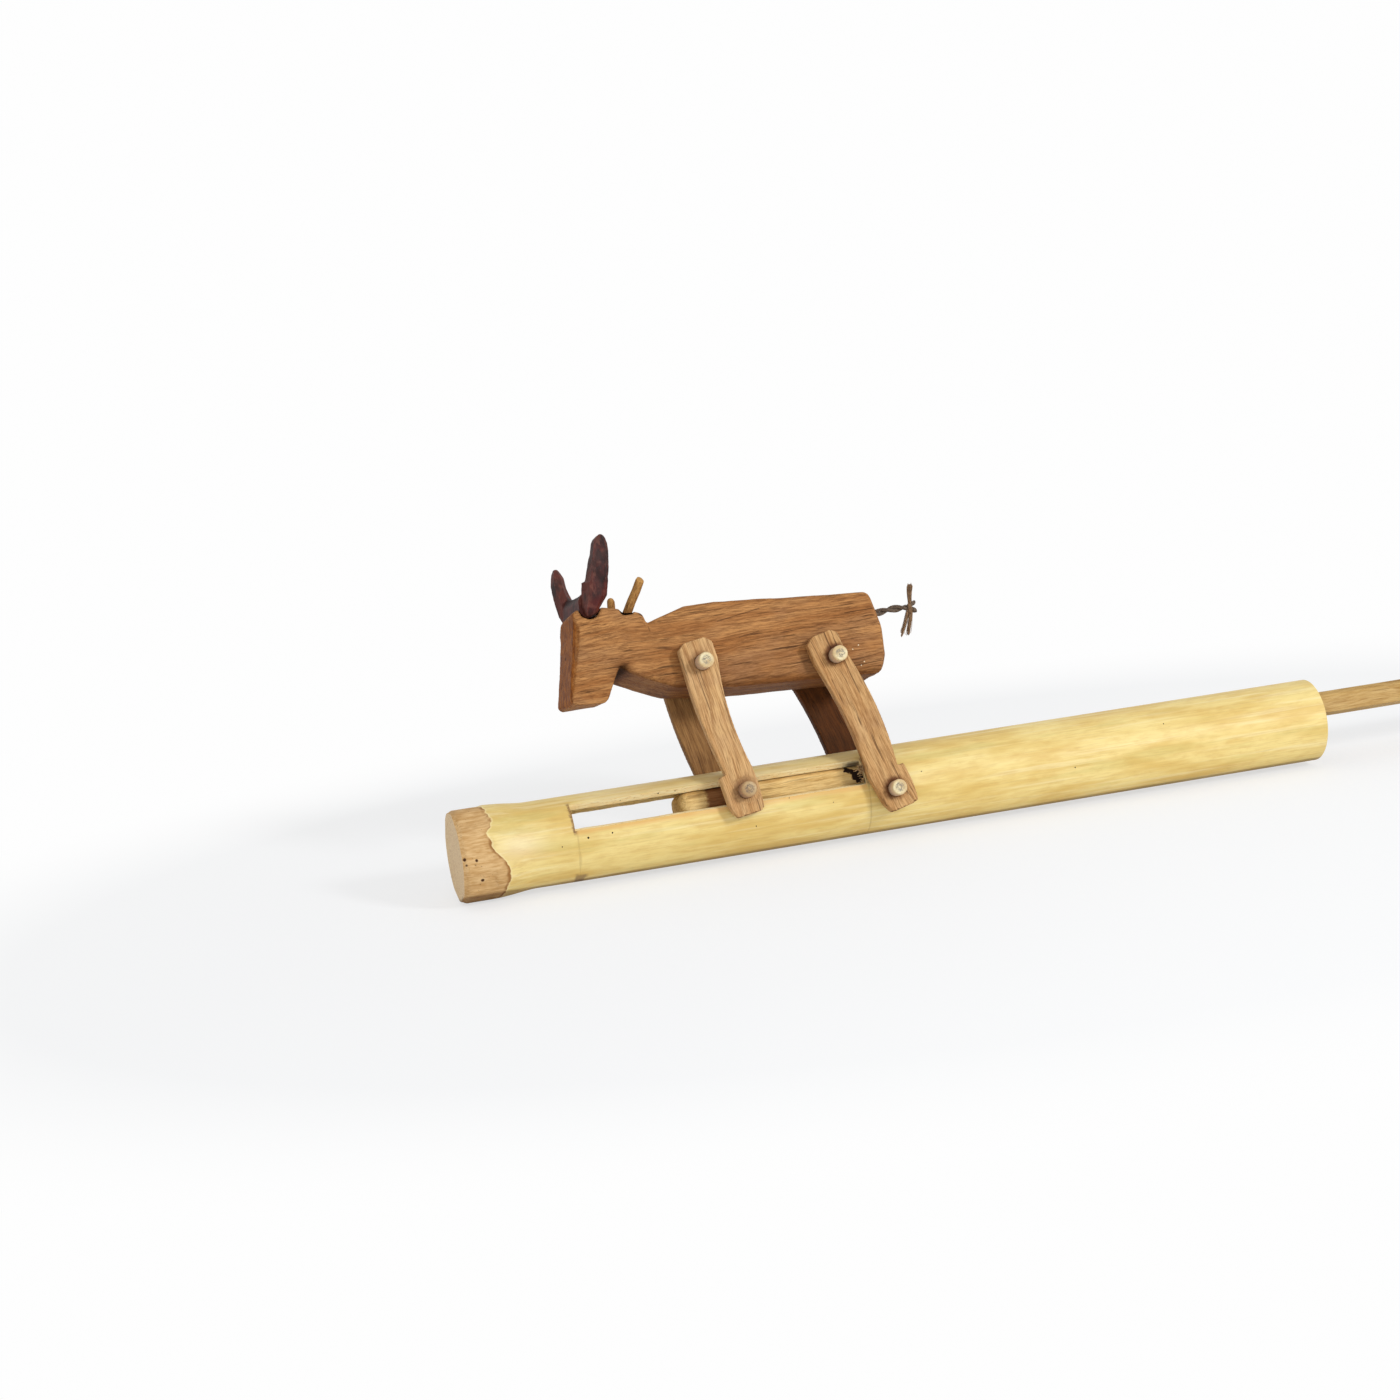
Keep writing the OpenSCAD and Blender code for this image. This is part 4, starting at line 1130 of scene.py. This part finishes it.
def wear_bamboo(o):
    p = upright(coords_of(o.data))
    x, y, z = p.T
    out = np.hypot(y, z)
    a = np.degrees(np.arctan2(-y, z)) % 360
    rough = lumps(p, (2.2, 2.2, 1.1), 8.8)
    paint(o, "scraped", 0.5 + (scraped_edge(p, a) - x) / 8)
    left_ring = ramp(np.abs(x - left_score) + 0.4 * lumps(p, (3, 6, 6), 4.4), 0.5, 0.1) * 0.3 * (z < 3)
    right_ring = ramp(np.abs(x - right_score), 0.45, 0.1) * 0.35 * (z < 3)
    low_nick = ramp(np.abs(x + 150.4) + rough, 2.9, 1.7) * ramp(-z - 0.8 * rough, 16.9, 18.1) * (y < 0)
    paint(o, "scored", left_ring + right_ring + low_nick)
    # painted highlights: a pale spot beside the scraped node and a pale band along the tube above the slot
    shine = np.exp(-((x + 178) / 11) ** 2 - ((a - 93) / 16) ** 2)
    band_shine = ramp(x, -151, -140) * ramp(-x, 10, 16) * ramp(z, 12.6, 13.6) * (0.6 - 0.2 * ramp(z, 15, 17))
    paint(o, "pale", np.maximum(shine, band_shine * (0.8 + 0.6 * lumps(p, (22, 3, 3), 5.2))))
    lip = (x > slot_left) & (x < -11.6) & (z < 3.4)
    paint(o, "bevel", lip * ramp(z, -1.2, 1.2) * (0.85 + 0.3 * lumps(p, (14, 5, 3), 6.1)))
    left = ramp(np.abs(x + 152.0) + 0.8 * rough, 1.1, 0.5) * ramp(np.abs(z - 7.6), 8.2, 6.6)
    right = ramp(np.abs(x + 9.8) + 2.4 * rough, 3.8, 2.0) * ramp(np.abs(z - 8.5), 7.4, 5.6)
    paint(o, "torn", np.maximum(left, right * 0.8) * (0.8 + 0.2 * lumps(p, 1.2, 6.6)))
    # painted shade at the slot's right end and a painted shadow line along the underside, where the tube
    # meets the floor; the bore is darker further in
    bore = ramp(16.6 - out, 0, 0.5) * ramp(x, 20, 60) * 0.8
    slot_end = ramp(np.abs(x + 14), 6, 2) * (out < 19.4) * (x < -11)
    paint(o, "dirt_and_shade", bore + slot_end + ramp(-z, 18.9, 19.7) * (out > 19) * 0.8)
    smooth_edges(o, 32)
    stand_in(o, "tube", "bamboo", "bamboo_tube")


wear_bamboo(bamboo_tube)

# %% [markdown]
# ## The push rod
#
# The rod is a long flat stick, split and shaved to slide in the bore, and its two ends are whittled
# blunt. A ring at each place along it lets the section shrink towards a tip, and a little noise keeps
# the shaved faces from looking machined.

# %% Rod
def rod_section(z0, z1):
    """The rod's section: its top stays inside the bore, and its other faces are flat."""
    half = 12.0
    section = [(y, min(z1, math.sqrt(15.65 ** 2 - y * y))) for y in np.linspace(-half, half, 15)]
    section += [(half, z) for z in np.linspace(section[-1][1] - 1.6, z0 + 1.6, 5)]
    section += [(y, z0) for y in np.linspace(half - 1.2, -half + 1.2, 12)]
    return section + [(-half, z) for z in np.linspace(z0 + 1.6, section[0][1] - 1.6, 5)]


def push_rod():
    (tip, _, z0), (end, _, z1) = node_box("slider_rod")
    near_tip = np.array([0, 0.25, 0.7, 1.4, 2.4, 3.6, 5, 7])
    xs = np.concatenate([tip + near_tip, np.arange(tip + 10, 0, 1.2), np.arange(0, end - 9, 4),
                         end - near_tip[::-1]])
    section, mid = rod_section(z0, z1), (z0 + z1) / 2
    rings = []
    for x in xs:
        d = min(x - tip, end - x)
        across = 1 - 0.22 * (1 - min(1, d / 4)) ** 2
        tall = 1 - 0.4 * (1 - min(1, d / 2.6)) ** 2
        ring = []
        for y, z in section:
            k = noise.noise(Vector((x * 0.05, y * 0.25, z * 0.25))) * 0.1 - 0.1
            k += min(0, noise.noise(Vector((x * 0.5, y * 0.5, z * 0.7)))) * 1.3 * max(0, 1 - (x - tip) / 9)
            yy, zz = y * across, (z - mid) * tall
            grow = 1 + k / math.hypot(yy, zz)
            ring.append((x, yy * grow, mid + zz * grow))
        rings.append(ring)
    o = shape("push_rod", *skin(rings, ((tip, 0, mid), (end, 0, mid))))
    p = upright(coords_of(o.data))
    paint(o, "worn", ramp(p[:, 0], end - 30, end - 5) * 0.4)
    paint(o, "dirt_and_shade", 0.2 * ramp(lumps(p, (9, 4, 4), 2.0), 0, 0.5) + 0.4 * ramp(p[:, 0], 90, 200))
    smooth_edges(o, 40)
    dress(o, rod_wood)
    stand_in(o, "rod", "rod_wood", "slider_rod")


push_rod()

# %% [markdown]
# ## The pins
#
# The four pins are lengths of peeled twig, cut with a knife, so the ends are a little out of true and
# bevelled by hand. A loose grey ring of pith shows on each end face: the pin is painted there, and its
# finish breaks that paint up into soft dots.

# %% Pins and their pith
def pin(node, name, centre, body, seed, brown=0.0):
    low, high = node_box(node)
    r, y0, y1 = 3.7, low[1], high[1]
    a = np.linspace(0, 2 * math.pi, 40, endpoint=False)
    bevels = [(0, s) for s in (0.14, 0.28, 0.36, 0.44, 0.52, 0.6)] + [(0.02, 0.8), (0.12, 0.88), (0.7, 1.0)]
    stations = [(y0 + d, s) for d, s in bevels] + [(y, 1.0) for y in np.linspace(y0 + 3, y1 - 3, 18)]
    stations += [(y1 - d, s) for d, s in bevels[::-1]]
    rings = []
    for y, s in stations:
        grain = [noise.noise((math.cos(t) * 1.5 + seed, y * 0.05, math.sin(t) * 1.5)) for t in a]
        rr = r * s * (1 - 0.012 + 0.012 * np.array(grain))
        yy = y + (0.12 + 0.12 * np.cos(a + seed)) * (1 if y < 0 else -1) * (s < 0.95)
        rings.append(np.stack([centre[0] + rr * np.cos(a), yy, centre[2] + rr * np.sin(a)], 1))
    o = shape(name, *skin(rings, [(centre[0], y, centre[2]) for y in (y0 + 0.12, y1 - 0.12)]))
    p = upright(coords_of(o.data))
    depth = np.minimum(p[:, 1] - y0, y1 - p[:, 1])
    paint(o, "skin", ramp(depth, 0.5, 0.9))
    paint(o, "rim", ramp(depth, 0.05, 0.25) * ramp(depth, 0.9, 0.6))
    paint(o, "dirt_and_shade", 0.35 * ramp(p[:, 1], y0 + 2.5, y0 + 6))
    paint(o, "pith", ramp(depth, 0.5, 0.3) * ramp(np.abs(side_distance(p, centre) - 1.3), 1.1, 0.5))
    paint(o, "aged", np.full(len(p), brown))
    smooth_edges(o, 40)
    dress(o, twig_wood)
    stand_in(o, body, "pin_twig", node)


pin("front_top_pin", "front_pin_upper", front_top, "front_legs", 1.3)
pin("front_bottom_pin", "front_pin_lower", front_bottom, "front_legs", 2.7, brown=0.6)
pin("rear_top_pin", "rear_pin_upper", rear_top, "rear_legs", 4.1)
pin("rear_bottom_pin", "rear_pin_lower", rear_bottom, "rear_legs", 5.9)

# %% [markdown]
# ## The ear pegs
#
# Each ear is a whittled peg, so it has long flat cuts and no true circle anywhere. A nine-sided row of
# points that shrinks and leans a little along the peg shows those cuts under plain light. The near one
# stands loose in a worn hole and has a pale tip, cut slanting towards the near side.

# %% Ears
def ear(node, name, base, direction, shown, radius, seed, round_tip):
    direction = np.array(direction, float) / np.linalg.norm(direction)
    side = np.cross(direction, [0, 1, 0])
    side /= np.linalg.norm(side)
    other = np.cross(direction, side)
    a = np.linspace(0, 2 * math.pi, 9, endpoint=False)
    a += 0.22 * np.sin(a * 3 + seed)
    tip = [(2.2, 0.97), (1.2, 0.85), (0.4, 0.6), (0, 0.25)] if round_tip else \
        [(0.6, 0.99), (0.3, 0.95), (0.04, 0.86), (0, 0.2)]
    stations = [(-9.5, 0.95), (-2, 0.98), (shown * 0.3, 0.97), (shown * 0.6, 0.98)]
    rings = []
    for t, s in stations + [(shown - d, s) for d, s in tip]:
        uneven = radius * s * (1 + 0.05 * np.cos(a * 2 + seed + t * 0.1) - 0.05)
        sway = 0.25 * math.sin(t * 0.25 + seed) * (1 if t < shown - 2 else 0.6)
        centre = base + direction * t + side * sway
        ring = centre + (np.cos(a) * uneven)[:, None] * side + (np.sin(a) * uneven)[:, None] * other
        if t > shown - 2.6 and not round_tip:
            ring -= direction * (0.5 * (radius - (ring - centre)[:, 1]))[:, None]
        rings.append(ring)
    o = shape(name + "_raw", *skin(rings))
    bevel = o.modifiers.new("knife edges", "BEVEL")
    bevel.width, bevel.segments, bevel.limit_method = 0.00018, 2, "NONE"
    o = outwards(evaluated(o, name))
    p = upright(coords_of(o.data))
    t = (p - base) @ direction
    lean = shown if round_tip else shown - 0.5 * (radius - (p - base - t[:, None] * direction)[:, 1])
    paint(o, "worn", ramp(t - lean, -0.5, -0.2))
    paint(o, "dirt_and_shade", ramp(t, 4.5, 0.5) * 0.5)
    smooth_edges(o, 50)
    dress(o, peg_wood)
    stand_in(o, "animal", "peg_wood", node)


ear("ear_peg_near", "near_ear", rear_top + (-90.9, -9.5, 36), (0.54, -0.3, 1), 17.8, 2.35, 1.0, False)
ear("ear_peg_far", "far_ear", rear_top + (-94, 9.5, 37), (0.06, 0.1, 1), 10.0, 2.2, 2.0, True)

# %% [markdown]
# ## The tail
#
# The tail is a short, stiff piece of two-ply string with a knot. Two plies wind round each other, and
# each is a twist of six thin yarns round a core. A yarn is a path that is moved out in a helix, with a
# row of small rings along it. Two turns of the same string make the knot, and their bends show as
# round lobes on its right side.

# %% Tail string and knot
tail_root = rear_top + (27, 0, 20.4)
knot = tail_root + (22.0, 0, 0.7)
yarns_in_ply = 6


def strand(path, radius, sides=6):
    """A closed skin along rows of points."""
    path = np.asarray(path, float)
    tangent = np.gradient(path, axis=0)
    tangent /= np.linalg.norm(tangent, axis=1)[:, None]
    t = 2 * math.pi * np.arange(sides)[:, None] / sides
    ref, rings = np.array([0.0, 1.0, 0.0]), []
    for point, way in zip(path, tangent):
        u = np.cross(way, ref)
        u /= np.linalg.norm(u)
        v = np.cross(way, u)
        ref = np.cross(u, way)
        rings.append(point + radius * (np.cos(t) * u + np.sin(t) * v))
    return skin(rings)


def gather(name, strands, node):
    points, faces = [], []
    for rows, found in strands:
        base = len(points)
        points += rows.tolist()
        faces += [[base + i for i in face] for face in found]
    o = shape(name, points, faces)
    o.data.shade_smooth()
    dress(o, string_fibre)
    stand_in(o, "animal", "string", node)


def tail_string():
    xs = np.linspace(-9.5, 20, 60)
    mid = np.stack([xs, 0 * xs, np.interp(xs, [0, 6.3, 12.6, 20], [0, 0.2, 0.9, 0.6])], 1) + tail_root
    strands = []
    for ply in (0, 1):
        turn_ply = xs * 2 * math.pi / 15.5 + ply * math.pi + 2.2
        core = mid + 0.92 * np.stack([0 * xs, np.cos(turn_ply), np.sin(turn_ply)], 1)
        for yarn in range(yarns_in_ply):
            turn_yarn = -xs * 2 * math.pi / 6.5 + yarn * 2 * math.pi / yarns_in_ply
            out = np.stack([0 * xs, np.cos(turn_yarn), np.sin(turn_yarn)], 1)
            strands.append(strand(core + 0.6 * out, 0.36))
        strands.append(strand(core, 0.5))
    gather("tail_string", strands, "tail_cord")


def tail_knot():
    s = np.linspace(0, 2 * math.pi, 40)[:, None]
    strands = []
    for middle, lift, deep in ((1.0, 0.75, 1.7), (-1.2, -0.7, 1.5)):
        out = np.hstack([np.cos(s), np.sin(s), lift * np.cos(s)])
        core = knot + (0.5, 0.5, middle) + out * (1.75, deep, 1.0)
        unit = out / np.linalg.norm(out, axis=1)[:, None]
        for yarn in range(yarns_in_ply):
            w = s * 5 + yarn * 2 * math.pi / yarns_in_ply
            strands.append(strand(core + 0.68 * (np.cos(w) * unit + np.sin(w) * (0, 0, 1)), 0.44))
        strands.append(strand(core, 0.62))
    gather("tail_knot_turns", strands, "tail_knot")


tail_string()
tail_knot()

# %% [markdown]
# The frayed ends are many thin fibres. They start in the knot and spread as they go, each only a few
# faces. A second Geometry Nodes tool repeats one bent fibre at every point, points the bunch the way
# that it goes, and leans each fibre from there by a small seeded random angle.

# %% Frayed ends
def fray_tool():
    """Repeats a thin bent fibre at each point, with a random lean and length."""
    t = Tool("frayed_fibres", Fibre_length=("Float", 0.012), Fibre_radius=("Float", 0.00012),
             Curl=("Float", 0.05), Lean=("Vector", (0.1, 0.1, 0.3)), Turn=("Vector", (0, 0, 0)),
             Seed=("Int", 1))
    length = t.given["Fibre length"]
    bend = {"Resolution": 7, "Start": (0, 0, 0)}
    for key, aside, along in (("Start Handle", 0.2, 0.4), ("End Handle", 1.0, 0.7), ("End", 0.3, 1.0)):
        sideways = t.times(t.times(length, aside), t.given["Curl"])
        bend[key] = t.add("ShaderNodeCombineXYZ", {0: sideways, 2: t.times(length, along)}).outputs[0]
    line = t.add("GeometryNodeCurvePrimitiveBezierSegment", bend)
    ring = t.add("GeometryNodeCurvePrimitiveCircle", {"Resolution": 4, "Radius": t.given["Fibre radius"]})
    fibre = t.add("GeometryNodeCurveToMesh", {"Curve": line.outputs[0], "Profile Curve": ring.outputs[0],
                                              "Fill Caps": True})
    other_way = t.vector("MULTIPLY", t.given["Lean"], (-1, -1, -1))
    lean = t.add("FunctionNodeRandomValue", {0: other_way, 1: t.given["Lean"], "Seed": t.given["Seed"]},
                 data_type="FLOAT_VECTOR")
    size = t.add("FunctionNodeRandomValue", {0: (0.8, 0.8, 0.78), 1: (1.2, 1.2, 1.0), "Seed": 5},
                 data_type="FLOAT_VECTOR")
    return t.repeat(fibre.outputs[0], t.vector("ADD", lean.outputs[0], t.given["Turn"]), size.outputs[0])


fray = fray_tool()


def bunch(name, points, way, **values):
    """A bunch of fibres at some points that all go one way, a vector in millimetres."""
    line = lying(way) - lying([0, 0, 0])
    return fray.run(name, points, Fibre_length=float(np.linalg.norm(line)),
                    Turn=tuple(Vector(line).to_track_quat("Z", "Y").to_euler()), **values)


def frayed_end(start, tip, spread, count, seed):
    offsets = np.random.default_rng(seed).normal(0, 0.34, (count, 3)) * (1, 1, 0.8)
    return bunch("fray", knot + start + offsets, np.subtract(tip, start), Lean=(spread, spread, 0.04),
                 Seed=seed, Finish=frayed_fibre)


frayed = joined([frayed_end((-0.9, -1.5, -1.2), (1.9, -0.6, 11.0), 0.085, 100, 1),
                 frayed_end((-0.9, -1.5, 1.4), (-1.8, -0.9, -8.2), 0.05, 40, 4),
                 frayed_end((-1.3, -0.9, -1.2), (-7.1, 0.4, -13.7), 0.015, 44, 2),
                 frayed_end((-0.4, -1.3, -1.2), (-4.3, -1.0, -13.6), 0.025, 56, 3),
                 frayed_end((-1.3, -0.6, -2.2), (-8.8, 0, -14.2), 0.01, 2, 6)])
frayed.name = "tail_fray"
frayed.data.shade_smooth()
stand_in(frayed, "animal", "string", "tail_tufts")

# %% [markdown]
# The same tool makes the torn fibres that stand out at the slot's right end, where the bamboo split as
# it was cut. Their points, length, curl, direction and finish differ. They stand for no measured solid.

# %% Torn fibres in the slot
def torn_fibres():
    rng = np.random.default_rng(8)
    bunches = []
    for z0, z1, way in ((9.5, 11.6, (-4.2, 0.6, -2.0)), (6.0, 9.8, (-2.8, 0.4, 0.8)),
                        (3.4, 5.5, (-2.2, 0.4, -0.2)), (8.5, 11.0, (-2.4, 0.3, 1.6))):
        points = np.stack([rng.uniform(*span, 8) for span in ((-11.8, -11.2), (-17.6, -16.6), (z0, z1))], 1)
        bunches.append(bunch("torn", points, way, Fibre_radius=0.00014, Curl=0.8, Lean=(0.5, 0.5, 1.0),
                             Seed=20 + len(bunches), Finish=torn_fibre))
    o = joined(bunches)
    o.name = "torn_fibres"
    o.data.shade_smooth()
    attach(o, "tube")
    print("torn fibres:", len(o.data.polygons), "faces")


torn_fibres()

# %% [markdown]
# ## Floor and light
#
# The photograph is on a white sweep, under soft light that leaves only a faint shadow under the tube.
# The floor is one big pale sheet. To the camera it is mostly plain white, and wholly so further from
# the toy, while the light that it gives stays as it is.

# %% Floor
floor_z = min(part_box(n)[0].z for n in frame["nodes"])
sheet = bpy.data.meshes.new("floor")
corners = [(-6, -3), (6, -3), (6, 9), (-6, 9)]
sheet.from_pydata([(x, y, floor_z) for x, y in corners], [], [[0, 1, 2, 3]])
floor = new_object("floor", sheet)
paper = Finish("pale_paper")
paper.ground(paper.speckle(paper.place, 1.6, 2.0), 0.3, 0.7, "f1f3f6", "f8fafc")
paper.done(0.95, 0.1)
away = paper.vector("DISTANCE", paper.stretched(paper.place, (1.0, 1.6, 0.0)), (-0.2, -0.05, 0), "Value")
white_share = paper.times(paper.most(paper.steps(away, 0.2, 0.6), 0.64),
                          paper.add("ShaderNodeLightPath").outputs["Is Camera Ray"])
white = paper.add("ShaderNodeEmission", {"Color": (1, 1, 1, 1), "Strength": 0.99})
mixed = paper.add("ShaderNodeMixShader", {0: white_share, 1: paper.shader.outputs[0], 2: white.outputs[0]})
paper.put(paper.tree.nodes["Material Output"].inputs[0], mixed.outputs[0])
dress(floor, paper.material)
print("floor at", round(floor_z * 1000, 2), "mm")

# %% [markdown]
# To the camera and in reflections the world is nearly white, and its light on the toy is kept at a
# plain level, so that the colours come out as they are written. Two lamps shape the toy: a small one
# from the upper right, which gives it its shadows, and a large faint one from the left.

# %% World and lamps
world = bpy.data.worlds.new("studio")
bpy.context.scene.world = world
world.use_nodes = True
sky = Nodes(world.node_tree)
sky.tree.nodes.clear()
ray = sky.add("ShaderNodeLightPath").outputs
seen = sky.most(sky.most(ray["Is Camera Ray"], ray["Is Glossy Ray"]), ray["Is Transmission Ray"])
lit, shown = (sky.add("ShaderNodeBackground", {"Color": (1, 1, 1, 1), "Strength": s}).outputs[0]
              for s in (0.62, 0.99))
both = sky.add("ShaderNodeMixShader", {0: seen, 1: lit, 2: shown})
sky.add("ShaderNodeOutputWorld", {0: both.outputs[0]})


def lamp(name, place, size, power):
    """A square lamp that points at the middle of the toy."""
    data = bpy.data.lights.new(name, "AREA")
    data.shape, data.size, data.energy = "SQUARE", size, power
    o = new_object(name, data)
    o.location = place
    o.rotation_euler = (Vector((-0.28, 0, 0.03)) - Vector(place)).to_track_quat("-Z", "Y").to_euler()


lamp("key", (0.8, -1.5, 1.0), 0.34, 19)
lamp("fill", (-1.0, -1.6, 0.8), 1.4, 4)
bpy.context.scene.view_settings.view_transform = "Standard"
print("lamps:", len(bpy.data.lights))
